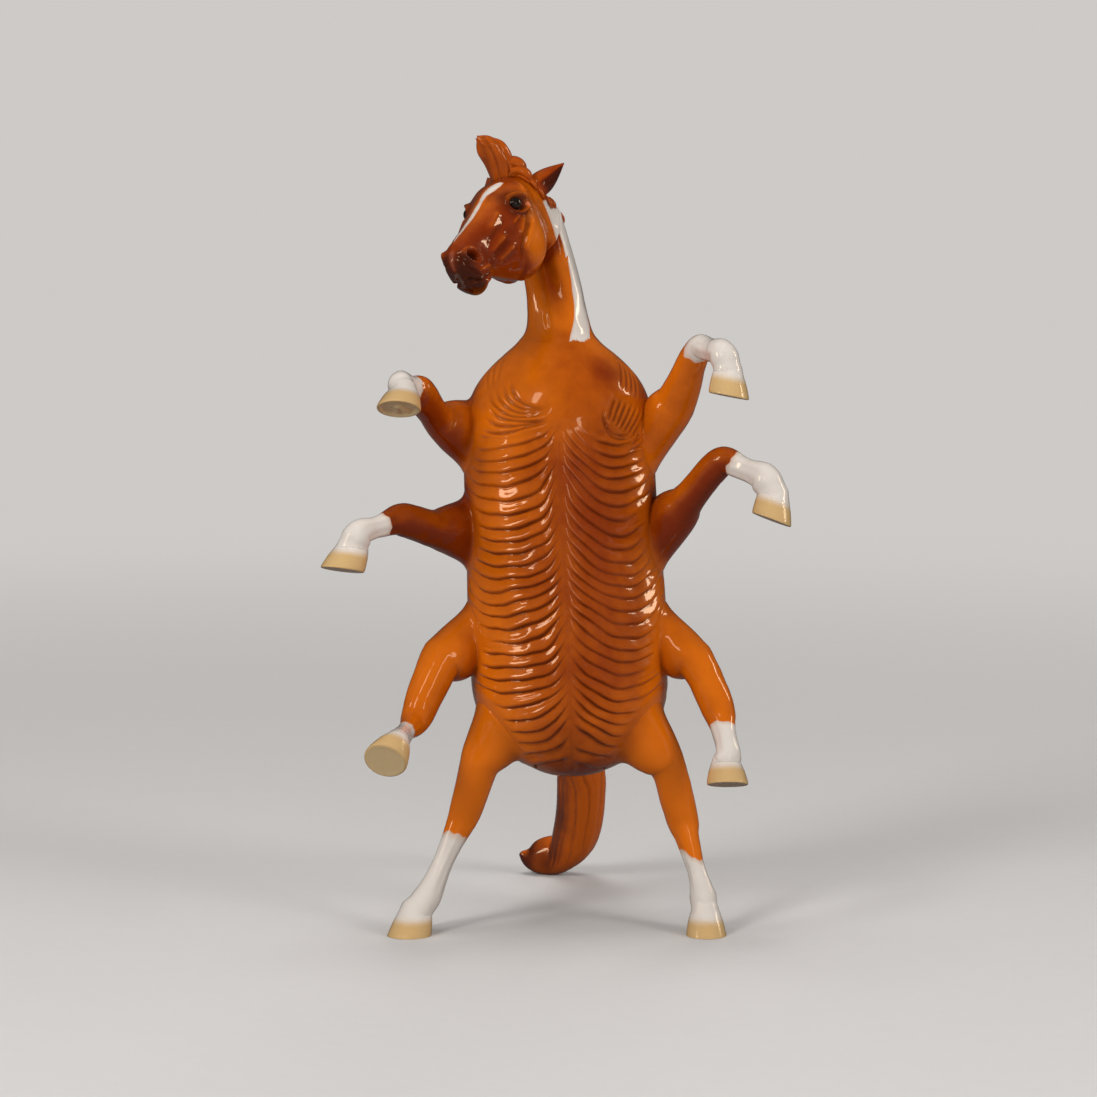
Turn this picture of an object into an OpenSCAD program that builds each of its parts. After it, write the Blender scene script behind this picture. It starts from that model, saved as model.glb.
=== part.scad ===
// Model horse with eight legs and a plump ribbed barrel, reared upright.
// It stands on its two hindmost hooves and on its tail. The belly faces the front.
// Left and right are those of someone looking at the belly. All sizes are in millimetres.

/* [Stance] */
// How far the barrel's axis stands right of the middle of the model
stance_right = 0.91; // [0:0.01:3]
// How far the standing hooves are in front of the middle of the model
stance_front = 16.47; // [14:0.01:18]
// Height of the barrel's lower end above the ground
barrel_lift = 21.3; // [20.3:0.1:22.5]
// How far the barrel's axis stands behind the standing hooves
barrel_back = 9.5; // [8:0.1:11]

/* [Barrel] */
// Length of the barrel from its lower end to the neck's seat
barrel_l = 62.8; // [60:0.1:65]
// Greatest width of the barrel
barrel_w = 28.4; // [26:0.1:30]
// Greatest depth of the barrel from belly to back
barrel_d = 25.6; // [23:0.1:28]
// Height of the rounded lower end
barrel_round = 14; // [12:0.1:16]
// Height from groove to ridge of the ribs
rib_relief = 0.62; // [0.2:0.01:0.8]
// Number of ribs down the belly
rib_count = 27; // [20:1:30]
// How much higher a rib starts at the keel than it runs on the side of the belly
rib_sweep = 4.3; // [2:0.1:5]

/* [Neck] */
// Width of the neck at its foot
neck_w = 9.9; // [9:0.1:10.5]
// Depth of the neck at its foot
neck_d = 11.6; // [10.5:0.1:12.4]
// Thickness of the mane
mane_t = 1.0; // [0.7:0.05:1.3]

/* [Head] */
// Length of the head from poll to lips
head_l = 24; // [22.5:0.1:25]
// How far the head is turned to the left, in degrees
head_turn = 25.6; // [21:0.2:30]
// How far the head nods, in degrees
head_nod = 23.5; // [20:0.5:28]
// How far the head is tipped to one side, in degrees
head_tilt = 15; // [10:0.2:19]
// Height of the poll above the neck's foot
poll_rise = 23.1; // [22:0.1:24]
// How far the poll is left of the barrel's axis
poll_left = 7.2; // [6:0.1:8]
// How far the poll is in front of the barrel's axis
poll_front = 0.5; // [0:0.1:1.2]
// Length of the ears
ear_l = 5.2; // [4:0.1:6]
// Length of the forelock
forelock_l = 7.6; // [6:0.1:9]

/* [Legs] */
// Length that the legs' bends are shares of
limb_l = 24; // [22:0.1:25]
// Thickness of a leg above its knee
upper_w = 4.9; // [4.2:0.05:5.4]
// Thickness of a knee
knee_w = 4.7; // [4:0.05:5.2]
// Thickness of a shank
shank_w = 2.9; // [2.5:0.05:3.3]
// Thickness of a fetlock
fetlock_w = 3.8; // [3.3:0.05:4.2]
// Width of a hoof at the ground
hoof_w = 6; // [5.4:0.05:6.6]
// Height of a hoof's wall
hoof_h = 3.3; // [3:0.05:3.7]
// How much is rubbed off the standing soles and the tail to make them flat
sole_cut = 0.3; // [0.2:0.05:0.4]
// Height of the fore legs' joins above the barrel's lower end, as a share of the barrel's length
fore_share = 0.79; // [0.77:0.005:0.81]
// Height of the second legs' joins
second_share = 0.567; // [0.545:0.001:0.585]
// Height of the third legs' joins
third_share = 0.314; // [0.3:0.001:0.33]
// Height of the hindmost legs' joins
hind_share = 0.105; // [0.1:0.001:0.115]
// Breadth of a leg's join, round the barrel
join_b = 7.6; // [6.6:0.1:8.2]
// Length of a leg's join, up and down the barrel
join_l = 9.8; // [8.5:0.1:10.5]

/* [Tail] */
// How far behind the barrel's axis the tail reaches the ground
tail_reach = 35; // [32:0.1:38]
// Height of the place where the tail joins the barrel, above the barrel's lower end
tail_h = 11; // [9.5:0.1:13]
// Width of the tail at its fullest
tail_w = 7.2; // [6:0.1:8]

/* [Pins and glue] */
// Gap for glue between two castings
glue_gap = 0.08; // [0.05:0.01:0.15]
// Thickness of the steel pins in the legs
pin_d = 1.2; // [1:0.05:1.4]
// Length of the steel pins in the legs
pin_l = 8; // [7:0.1:9]
// Thickness of the dowel in the neck and of the pin in the tail
dowel_d = 2; // [1.6:0.05:2.4]
// Length of the dowel in the neck
dowel_l = 13; // [11:0.1:15]
// Gap round a pin in its bore
bore_gap = 0.05; // [0.03:0.01:0.1]
// Room left beyond the end of a pin in its bore
bore_end = 0.3; // [0.2:0.05:0.5]

/* [Hidden] */
// Points round a limb, round the tail and the forelock, round the head and neck, across the mane,
// and round the barrel's front and back
limb_sides = 12;
lock_sides = 16;
head_sides = 26;
mane_sides = 6;
front_sides = 30;
back_sides = 10;
// Steps between two stations of a limb, and how far along its rings look to find their way
limb_steps = 3;
look_share = 0.35;
// How far round the crest the mane reaches, and how far round the belly the ribs reach, in degrees
mane_turn = 44;
rib_turn = 96;
// A hoof's width at its crown, and how far its crown lies behind its toe
crown_share = 0.62;
lean_share = 0.45;
// Facets of the pins
pin_sides = 32;
// Middle of the barrel's axis, its foot, and the middle of the neck's seat
foot_x = stance_right;
foot_y = barrel_back - stance_front;
neck_z = barrel_lift + barrel_l;
neck_y = foot_y + neck_d * 0.08;

// Barrel: height, half width, belly, back and lean to the right, as shares of its sizes
barrel_shares = [
    [0, 0.49, 0.50, 0.44, 0.050],
    [0.12, 0.495, 0.505, 0.46, 0.045],
    [0.30, 0.497, 0.515, 0.475, 0.033],
    [0.40, 0.500, 0.515, 0.48, 0.024],
    [0.51, 0.492, 0.505, 0.48, 0.012],
    [0.63, 0.484, 0.49, 0.475, -0.005],
    [0.74, 0.478, 0.47, 0.465, -0.014],
    [0.84, 0.462, 0.435, 0.45, -0.014],
    [0.88, 0.436, 0.405, 0.43, -0.012],
    [0.92, 0.382, 0.36, 0.40, -0.010],
    [0.96, 0.296, 0.29, 0.345, -0.010],
    [1, 0.180, 0.20, 0.27, -0.012]];

// Heights of the joins, and the height that the standing legs' own heights are shares of
fore_h = barrel_l * fore_share;
second_h = barrel_l * second_share;
third_h = barrel_l * third_share;
hind_h = barrel_l * hind_share;
stand_h = barrel_lift + hind_h + sole_cut;

// Legs: elbow, knee, fetlock and sole, to the right, forward and up from the join
left_fore_shares = [
    [-0.176, 0.19, 0.122], [-0.256, 0.375, 0.275],
    [-0.367, 0.60, 0.351], [-0.369, 0.812, 0.216]];
right_fore_shares = [
    [0.158, 0.167, 0.251], [0.254, 0.354, 0.542],
    [0.392, 0.646, 0.535], [0.421, 0.75, 0.293]];
left_second_shares = [
    [-0.209, 0.208, 0.044], [-0.371, 0.354, 0.117],
    [-0.618, 0.562, 0.06], [-0.708, 0.646, -0.148]];
right_second_shares = [
    [0.178, 0.208, 0.232], [0.354, 0.354, 0.469],
    [0.617, 0.562, 0.387], [0.649, 0.667, 0.152]];
left_third_shares = [
    [-0.206, 0.167, -0.133], [-0.313, 0.292, -0.425],
    [-0.391, 0.584, -0.477], [-0.478, 0.833, -0.577]];
right_third_shares = [
    [0.202, 0.167, -0.134], [0.312, 0.271, -0.383],
    [0.36, 0.479, -0.608], [0.348, 0.562, -0.766]];
left_hind_shares = [
    [-0.098, 0.01, -0.188], [-0.169, -0.03, -0.401],
    [-0.379, 0.125, -0.791], [-0.498, 0.235, -1]];
right_hind_shares = [
    [0.142, -0.01, -0.186], [0.209, -0.05, -0.41],
    [0.335, 0.105, -0.789], [0.356, 0.21, -1]];

// Legs: thickness of thigh, elbow, knee, upper and lower shank, fetlock, hoof's crown and hoof,
// as shares of the sizes set above
left_fore_girth_shares = [1.45, 0.88, 1.04, 1.30, 1.15, 1.03, 1.05, 1.02];
right_fore_girth_shares = [1.43, 1.10, 0.81, 1.17, 1.17, 1.10, 1.08, 0.94];
left_second_girth_shares = [1.39, 1.04, 1.00, 1.20, 1.04, 1.10, 1.22, 1.02];
right_second_girth_shares = [1.47, 0.92, 0.94, 1.17, 1.12, 1.18, 1.18, 0.96];
left_third_girth_shares = [1.63, 1.18, 1.10, 1.24, 0.92, 0.74, 0.85, 1.02];
right_third_girth_shares = [1.49, 1.04, 1.10, 1.26, 1.18, 1.08, 1.08, 0.97];
left_hind_girth_shares = [1.40, 1.10, 1.02, 1.22, 1.04, 1.04, 1.26, 1.04];
right_hind_girth_shares = [1.43, 1.01, 1.09, 1.28, 1.04, 1.01, 1.10, 0.95];

// Legs, left and right: bearing of the join and turn of the knee's hinge, in degrees
fore_turns = [[-86, -25], [84, 26]];
second_turns = [[-84, -45], [82, 45]];
third_turns = [[-84, -30], [84, 25]];
hind_turns = [[-70, -32], [66, 10]];

// Head: distance and rise of the brow line, of the jaw line, and half width
head_shares = [
    [0.947, -0.135, 0.918, -0.225, 0.034],
    [0.935, -0.085, 0.900, -0.285, 0.070],
    [0.900, -0.050, 0.862, -0.335, 0.092],
    [0.850, -0.022, 0.818, -0.362, 0.104],
    [0.775, -0.008, 0.765, -0.352, 0.105],
    [0.690, 0.000, 0.705, -0.330, 0.102],
    [0.600, 0.008, 0.640, -0.342, 0.114],
    [0.500, 0.022, 0.560, -0.390, 0.136],
    [0.410, 0.040, 0.480, -0.445, 0.162],
    [0.320, 0.056, 0.400, -0.490, 0.180],
    [0.230, 0.064, 0.310, -0.510, 0.178],
    [0.145, 0.060, 0.210, -0.505, 0.160],
    [0.062, 0.042, 0.130, -0.488, 0.138],
    [-0.018, 0.000, 0.090, -0.480, 0.128],
    [-0.085, -0.066, 0.075, -0.480, 0.128],
    [-0.145, -0.155, 0.068, -0.480, 0.130],
    [-0.192, -0.272, 0.065, -0.485, 0.134]];

// Head: lumps and hollows. Each has its place from poll to lips, its bearing from the brow in degrees,
// its spread along the head, its spread round it in degrees, and its height
feature_shares = [
    [0.30, 62, 0.050, 20, 0.024],
    [0.30, -62, 0.050, 20, 0.024],
    [0.20, 48, 0.10, 24, 0.036],
    [0.20, -48, 0.10, 24, 0.036],
    [0.25, 104, 0.13, 34, 0.022],
    [0.25, -104, 0.13, 34, 0.022],
    [0.52, 70, 0.10, 16, 0.014],
    [0.52, -70, 0.10, 16, 0.014],
    [0.855, 62, 0.035, 20, -0.030],
    [0.855, -62, 0.035, 20, -0.030],
    [0.855, 38, 0.05, 14, 0.014],
    [0.855, -38, 0.05, 14, 0.014],
    [0.865, 112, 0.09, 9, -0.016],
    [0.865, -112, 0.09, 9, -0.016],
    [0.70, 150, 0.07, 30, -0.014],
    [0.70, -150, 0.07, 30, -0.014]];

// Sums of a vector, mixes and turns
function unit(v) = v / norm(v);
function mix(a, b, t) = a + (b - a) * t;
function ease(t) = let (c = max(0, min(1, t))) c * c * (3 - 2 * c);
function total(rows, k = 0) = k == len(rows) - 1 ? rows[k] : rows[k] + total(rows, k + 1);
function middle(rows) = total(rows) / len(rows);

// A smooth value between the rows of a table; u counts rows
function along(rows, u) =
    let (
        n = len(rows) - 1,
        k = min(floor(u), n - 1),
        t = u - k,
        a = rows[k],
        b = rows[k + 1],
        p = k == 0 ? b - a : (b - rows[k - 1]) / 2,
        q = k == n - 1 ? b - a : (rows[k + 2] - a) / 2
    )
    a + (p + (3 * (b - a) - 2 * p - q + (p + q - 2 * (b - a)) * t) * t) * t;

// The row number that a key in a table's first column stands for
function row_at(rows, key, k = 0) =
    k == len(rows) - 2 || key < rows[k + 1][0]
        ? k + (key - rows[k][0]) / (rows[k + 1][0] - rows[k][0])
        : row_at(rows, key, k + 1);

// Half width, belly, back and lean of the barrel at a height above its lower end
function girth(h) =
    let (
        v = max(0, min(1, h / barrel_l)),
        s = along(barrel_shares, row_at(barrel_shares, v)),
        low = max(0, 1 - h / barrel_round),
        r = sqrt(max(0, 1 - low * low))
    )
    [s[1] * barrel_w * r, s[2] * barrel_d * r, s[3] * barrel_d * r, s[4] * barrel_w];

// The barrel's surface, at a bearing from the belly and a height, grown outward a little
function on_barrel(bearing, h, grow = 0) =
    let (
        g = girth(h),
        d = cos(bearing) > 0 ? g[1] : g[2],
        wide = sin(bearing) / max(g[0], grow / 2),
        deep = cos(bearing) / max(d, grow / 2),
        r = 1 / sqrt(wide * wide + deep * deep) + grow
    )
    [foot_x + g[3] + r * sin(bearing), foot_y - r * cos(bearing), barrel_lift + h];

// The bearing of a point round the barrel
function bearing_of(p) = atan2(p[0] - foot_x - girth(p[2] - barrel_lift)[3], foot_y - p[1]);

// A point brought to the barrel's surface, or only kept out of the barrel
function to_barrel(p, grow) = on_barrel(bearing_of(p), p[2] - barrel_lift, grow);
function off_barrel(p, grow) =
    let (
        h = p[2] - barrel_lift,
        q = to_barrel(p, grow),
        c = [foot_x + girth(h)[3], foot_y, p[2]]
    )
    h <= 0 || h >= barrel_l || norm(p - c) >= norm(q - c) ? p : q;

// Frame at a leg's join: its middle, the way out, the way round and the way up
function join_frame(bearing, h) =
    let (
        c = on_barrel(bearing, h),
        round = unit(on_barrel(bearing + 1, h) - on_barrel(bearing - 1, h)),
        rise = unit(on_barrel(bearing, h + join_l / 9) - on_barrel(bearing, h - join_l / 9))
    )
    [c, unit(cross(round, rise)), round, rise];

// Skin of triangles over a list of rings, closed at both ends
module skin(rings) {
    m = len(rings[0]);
    n = len(rings);
    points = concat([for (r = rings) each r], [middle(rings[0]), middle(rings[n - 1])]);
    sides = [
        for (j = [0 : n - 2], i = [0 : m - 1])
            let (a = j * m + i, b = j * m + (i + 1) % m)
            each [[a, a + m, b], [b, a + m, b + m]]
    ];
    ends = [
        for (i = [0 : m - 1])
            let (b = (i + 1) % m)
            each [[n * m, i, b], [n * m + 1, (n - 1) * m + b, (n - 1) * m + i]]
    ];
    polyhedron(points, concat(sides, ends), convexity = 6);
}

// Round bar from a point along a direction, with a grown radius
module bar(start, way, length, d, grow = 0) {
    w = unit(way);
    translate(start)
        rotate([0, acos(w[2]), atan2(w[1], w[0])])
            cylinder(h = length, d = d + 2 * grow, $fn = pin_sides);
}

// Rings of a leg from its join to its hoof's sole
function leg_rings(bearing, h, path, face, sole, toe, drop, girth_shares) =
    let (
        f = join_frame(bearing, h),
        stations = [for (s = path) [s[0] * limb_l, -s[1] * limb_l, s[2] * drop]],
        down = unit(sole),
        ahead = unit(toe - down * (toe * down)),
        aside = cross(ahead, down),
        ground = f[0] + stations[3],
        crown = ground - down * hoof_h - ahead * hoof_h * lean_share,
        hock = f[0] + stations[1],
        fetlock = f[0] + stations[2],
        thick = [upper_w, upper_w, knee_w, shank_w, shank_w, fetlock_w, hoof_w * crown_share, hoof_w],
        sizes = concat([join_b], [for (k = [0 : 7]) thick[k] * girth_shares[k]]),
        top = sizes[7] / sizes[8],
        points = [
            f[0],
            mix(f[0], f[0] + stations[0], 0.55),
            f[0] + stations[0],
            hock,
            mix(hock, fetlock, 0.34),
            mix(hock, fetlock, 0.68),
            fetlock,
            crown
        ],
        rows = [for (k = [0 : 7]) concat(points[k], [sizes[k]])],
        hinge = [cos(face), sin(face), 0],
        turns = [for (i = [0 : limb_sides - 1]) i * 360 / limb_sides],
        sweep = [
            for (u = [0 : 1 / limb_steps : 6.99])
                let (
                    p = along(rows, u),
                    q = along(rows, u + look_share) - along(rows, max(0, u - look_share)),
                    c = [p[0], p[1], p[2]],
                    t = unit([q[0], q[1], q[2]]),
                    s = unit(hinge - t * (hinge * t)),
                    n = cross(t, s)
                )
                [for (a = turns) c + (s * cos(a) * (u > 2.6 && u < 6.4 ? 0.94 : 1) + n * sin(a)) * p[3] / 2]
        ],
        patch = [
            for (k = [0.45, 0.8, 1])
                [
                    for (p = sweep[0])
                        let (
                            v = p - f[0],
                            w = unit([v * f[2], v * f[3]])
                        )
                        to_barrel(f[0] + k * (f[2] * w[0] * join_b / 2 + f[3] * w[1] * join_l / 2), glue_gap)
                ]
        ],
        shaft = [
            for (j = [1 : len(sweep) - 1])
                let (t = ease(j / limb_steps / 1.6))
                [for (i = [0 : limb_sides - 1]) off_barrel(mix(patch[2][i], sweep[j][i], t), glue_gap)]
        ],
        hoof_ring = function(rise, width, slide)
            let (c = ground - down * hoof_h * rise - ahead * hoof_h * slide)
            [
                for (p = sweep[len(sweep) - 1])
                    let (
                        v = p - crown,
                        w = unit([v * aside, v * ahead])
                    )
                    c + (aside * w[0] + ahead * w[1] * (w[1] > 0 ? 1.08 : 0.92))
                        * mix(top, 1, width) * sizes[8] / 2
            ]
    )
    concat(patch, shaft, [
        hoof_ring(0.98, 0.12, lean_share),
        hoof_ring(0.8, 0.4, lean_share * 0.8),
        hoof_ring(0.35, 0.86, lean_share * 0.35),
        hoof_ring(0, 1, 0)
    ]);

// One leg, drilled for its pin
module leg(spec) {
    difference() {
        skin(leg_rings(spec[0], spec[1], spec[2], spec[3], spec[4], spec[5], spec[6], spec[7]));
        leg_bar(spec, bore_gap, bore_end);
    }
}

// The pin of a leg, half in the barrel and half in the leg
module leg_bar(spec, grow = 0, room = 0) {
    f = join_frame(spec[0], spec[1]);
    s = spec[2][0];
    way = unit(f[1] + unit([s[0], -s[1], s[2]]));
    bar(f[0] - way * (pin_l / 2 + room), way, pin_l + 2 * room, pin_d, grow);
}

// A leg: bearing and height of its join, its bends, the turn of its knee's hinge, the ways of its sole
// and toe, the length that its heights are shares of, and its thicknesses
left_fore = [fore_turns[0][0], fore_h, left_fore_shares, fore_turns[0][1],
    [-0.05, -0.39, -0.92], [-0.3, -0.95, 0.2], limb_l, left_fore_girth_shares];
right_fore = [fore_turns[1][0], fore_h, right_fore_shares, fore_turns[1][1],
    [-0.19, -0.12, -0.97], [0.4, -0.9, 0], limb_l, right_fore_girth_shares];
left_second = [second_turns[0][0], second_h, left_second_shares, second_turns[0][1],
    [-0.12, -0.22, -0.97], [-0.6, -0.8, 0], limb_l, left_second_girth_shares];
right_second = [second_turns[1][0], second_h, right_second_shares, second_turns[1][1],
    [-0.35, -0.15, -0.92], [0.5, -0.85, 0], limb_l, right_second_girth_shares];
left_third = [third_turns[0][0], third_h, left_third_shares, third_turns[0][1],
    [-0.25, -0.85, -0.45], [-0.55, 0.35, -0.6], limb_l, left_third_girth_shares];
right_third = [third_turns[1][0], third_h, right_third_shares, third_turns[1][1],
    [0, -0.3, -0.95], [0.1, -0.95, 0.3], limb_l, right_third_girth_shares];
left_hind = [hind_turns[0][0], hind_h, left_hind_shares, hind_turns[0][1],
    [0, 0, -1], [-0.55, -0.83, 0], stand_h, left_hind_girth_shares];
right_hind = [hind_turns[1][0], hind_h, right_hind_shares, hind_turns[1][1],
    [0, 0, -1], [0.1, -1, 0], stand_h, right_hind_girth_shares];
legs = [left_fore, right_fore, left_second, right_second, left_third, right_third, left_hind, right_hind];

// Ribs: rows run along ridges and grooves by turns, so that each rib is a true fold
function rib_drop(bearing) = pow(min(abs(bearing), rib_turn) / 50 - 1, 2);
function barrel_rings() =
    let (
        bearings = concat(
            [for (i = [0 : front_sides - 1]) rib_turn * (2 * i / front_sides - 1)],
            [for (i = [0 : back_sides - 1]) rib_turn + i * (360 - 2 * rib_turn) / back_sides]
        ),
        ribs = [for (k = [0 : 2 * rib_count]) mix(0.035, 0.82, k / rib_count / 2)],
        rows = concat([0.004, 0.018], ribs, [0.85, 0.885, 0.92, 0.955, 0.98, 1])
    )
    [
        for (j = [0 : len(rows) - 1])
            let (
                v = rows[j],
                lift = rib_sweep * ease(v / 0.1) * ease((1 - v) / 0.22),
                is_rib = j > 1 && j < len(rows) - 6,
                fade = is_rib ? ease((v - 0.02) / 0.04) * ease((0.84 - v) / 0.06) : 0
            )
            [
                for (a = bearings)
                    let (
                        h = v * barrel_l + lift * rib_drop(a > 180 ? a - 360 : a),
                        side = abs(a > 180 ? 360 - a : a),
                        relief = (j % 2 == 0 ? 0.5 : -0.5) * rib_relief * fade * ease((84 - side) / 16),
                        p = on_barrel(a, min(h, barrel_l)),
                        core = [foot_x, foot_y, max(p[2], barrel_lift + barrel_round)]
                    )
                    p + unit(p - core) * relief * clear_of_joins(p)
            ]
    ];

// Ribs die away where a leg joins
function clear_of_joins(p, k = 0) =
    k == len(legs)
        ? 1
        : let (
            f = join_frame(legs[k][0], legs[k][1]),
            v = p - f[0],
            r = norm([v * f[2] / join_b, v * f[3] / join_l]) * 2
        )
        ease((r - 1.12) / 0.4) * clear_of_joins(p, k + 1);

module barrel() {
    color("chocolate")
        difference() {
            skin(barrel_rings());
            for (l = legs)
                leg_bar(l, bore_gap, bore_end);
            dowel(bore_gap, bore_end);
            tail_bar(bore_gap, bore_end);
        }
}

// Head: its way forward, the way to its near side, its way up, and the poll
head_ahead = [-sin(head_turn) * cos(head_nod), -cos(head_turn) * cos(head_nod), -sin(head_nod)];
head_level = [cos(head_turn), -sin(head_turn), 0];
head_side = head_level * cos(head_tilt) + cross(head_ahead, head_level) * sin(head_tilt);
head_up = cross(head_ahead, head_side);
poll = [foot_x - poll_left, foot_y - poll_front, neck_z + poll_rise];
head_rows = len(head_shares) - 1;

// Middle, half height and half width of the head's section at a row
function head_section(u) =
    let (
        s = along(head_shares, u),
        top = poll + (head_ahead * s[0] + head_up * s[1]) * head_l,
        jaw = poll + (head_ahead * s[2] + head_up * s[3]) * head_l
    )
    [(top + jaw) / 2, (top - jaw) / 2, head_side * s[4] * head_l];

// Height of the lumps and hollows at a place on the head
function feature_at(t, a, k = 0) =
    k == len(feature_shares)
        ? 0
        : let (g = feature_shares[k], d = pow((t - g[0]) / g[2], 2) + pow((a - g[1]) / g[3], 2))
        (d > 9 ? 0 : g[4] * exp(-d)) + feature_at(t, a, k + 1);

// The head's surface at a row and a bearing from the brow, grown outward
function on_head(u, a, grow = 0) =
    let (
        s = along(head_shares, u),
        f = head_section(u),
        b = a > 180 ? a - 360 : a,
        t = mix(s[2], s[0], (1 + cos(a)) / 2),
        v = f[1] * cos(a) + f[2] * sin(a) * (1 + 0.1 * pow(sin(2 * a), 2))
    )
    f[0] + v + unit(v) * (feature_at(t, b) * head_l + grow);

function head_ring(u, grow = 0) = [for (i = [0 : head_sides - 1]) on_head(u, i * 360 / head_sides, grow)];

module head() {
    color("sienna")
        difference() {
            skin([for (u = [0 : 0.5 : head_rows]) head_ring(u)]);
            head_bar(bore_gap, bore_end);
        }
}

// The joint of head and neck: its middle and the way down the neck
throat = head_section(head_rows);
throat_way = unit(cross(throat[1], throat[2]));

module head_bar(grow = 0, room = 0) {
    bar(throat[0] - throat_way * (pin_l / 2 + room), throat_way, pin_l + 2 * room, pin_d, grow);
}

// Neck, from the throat down to its foot: height, crest, throat line and side as shares
// of the way from foot to throat, and half width as a share of its width
neck_shares = [
    [1, 1, 1, 1, 0.340],
    [0.90, 0.66, 0.92, 0.88, 0.350],
    [0.77, 0.35, 0.80, 0.73, 0.366],
    [0.60, 0.18, 0.62, 0.51, 0.385],
    [0.45, 0.10, 0.46, 0.31, 0.402],
    [0.30, 0.05, 0.30, 0.18, 0.418],
    [0.15, 0.02, 0.14, 0.06, 0.448],
    [0, 0, 0, 0, 0.5]];
neck_rows = len(neck_shares) - 1;

function neck_section(u) =
    let (
        s = along(neck_shares, u),
        seam = throat_way * glue_gap,
        foot = [foot_x - 0.012 * barrel_w, neck_y, neck_z + glue_gap],
        top = throat[0] + throat[1] + seam,
        low = throat[0] - throat[1] + seam,
        crest = [
            mix(foot[0], top[0], s[3]),
            mix(foot[1] + neck_d / 2, top[1], s[1]),
            mix(foot[2], top[2], s[0])
        ],
        front = [
            mix(foot[0], low[0], s[3]),
            mix(foot[1] - neck_d / 2, low[1], s[2]),
            mix(foot[2], low[2], s[0])
        ],
        side = unit(mix([1, 0, 0], head_side, s[0] * s[0]))
    )
    [(crest + front) / 2, (crest - front) / 2, side * s[4] * neck_w];

function on_neck(u, a, grow = 0) =
    let (
        f = neck_section(u),
        v = f[1] * cos(a) + f[2] * sin(a) * (1 + mix(0, 0.1, min(1, neck_rows - u)) * pow(sin(2 * a), 2))
    )
    f[0] + v + unit(v) * grow;

module neck() {
    color("peru")
        difference() {
            skin([
                for (u = [0 : 0.5 : neck_rows])
                    [for (i = [0 : head_sides - 1]) on_neck(u, i * 360 / head_sides)]
            ]);
            head_bar(bore_gap, bore_end);
            dowel(bore_gap, bore_end);
        }
}

module dowel(grow = 0, room = 0) {
    bar([foot_x, neck_y, neck_z - dowel_l / 2 - room], [0, 0, 1], dowel_l + 2 * room, dowel_d, grow);
}

// Mane: locks lying on the neck's crest; each ring has an inner arc on the neck and an outer one
module mane() {
    color("saddlebrown")
        skin([
            for (u = [1 : 0.4 : neck_rows - 0.6])
                let (e = min(1, 0.15 + 2.2 * sin(180 * (u - 0.9) / (neck_rows - 1.4))))
                concat(
                    [for (k = [0 : mane_sides]) on_neck(u, mix(mane_turn, -mane_turn, k / mane_sides), glue_gap)],
                    [
                        for (k = [0 : mane_sides])
                            let (
                                a = mix(-mane_turn, mane_turn, k / mane_sides),
                                lock = 0.75 + 0.25 * cos(a * 9 + u * 200)
                            )
                            on_neck(u, a, glue_gap + mane_t * e * lock * (0.25 + 0.75 * cos(a * 0.85)))
                    ]
                )
        ]);
}

// Ears, far and near: place along the head, and bearing from the brow in degrees
ear_shares = [0.7875, 0.875];
ear_turns = [-54, 42];

// Ear: a hollow leaf standing on a patch of the head
module ear(k, lean) {
    w = ear_l * 0.29;
    row = head_rows * ear_shares[k];
    place = ear_turns[k];
    base = on_head(row, place, glue_gap);
    way = unit(lean);
    across = unit(cross(way, [0, -1, 0.2]));
    deep = cross(way, across);
    widths = [1, 1.12, 1.02, 0.8, 0.5, 0.1];
    turns = [for (i = [0 : limb_sides - 1]) i * 360 / limb_sides];
    patch = [
        for (k = [0.5, 1])
            [
                for (a = turns)
                    let (v = across * cos(a) + deep * sin(a), q = [v * head_side, v * head_ahead])
                    on_head(row - 0.8 * k * q[1], place + 22 * k * q[0], glue_gap)
            ]
    ];
    leaf = [
        for (j = [1 : len(widths)])
            [
                for (a = turns)
                    base + way * ear_l * j / len(widths)
                        + across * cos(a) * w * widths[j - 1]
                        + deep * (sin(a) > 0 ? -0.3 : 0.8) * abs(sin(a)) * w * widths[j - 1] * (sin(a) > 0 ? 1 : -1)
            ]
    ];
    color("sienna") skin(concat(patch, leaf));
}

// Tail: a lock that leaves the back, falls behind the hooves and curls on the ground;
// side, back, height, width and depth as shares
tail_shares = [
    [0.040, 0.334, 1.00, 0.78, 0.80],
    [0.055, 0.46, 0.90, 0.84, 0.78],
    [0.072, 0.58, 0.72, 0.95, 0.76],
    [0.086, 0.69, 0.52, 1.02, 0.76],
    [0.084, 0.79, 0.34, 1.02, 0.76],
    [0.062, 0.885, 0.19, 0.98, 0.76],
    [0.010, 0.955, 0.08, 0.86, 0.90],
    [-0.070, 0.985, 0.065, 0.70, 0.82],
    [-0.135, 0.99, 0.065, 0.52, 0.58],
    [-0.175, 0.985, 0.100, 0.10, 0.10]];

function tail_point(s) =
    let (h = max(s[2] * (barrel_lift + tail_h), s[4] * tail_w / 2 - sole_cut / 2))
    [foot_x + s[0] * tail_reach, foot_y + s[1] * tail_reach, h];

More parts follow.
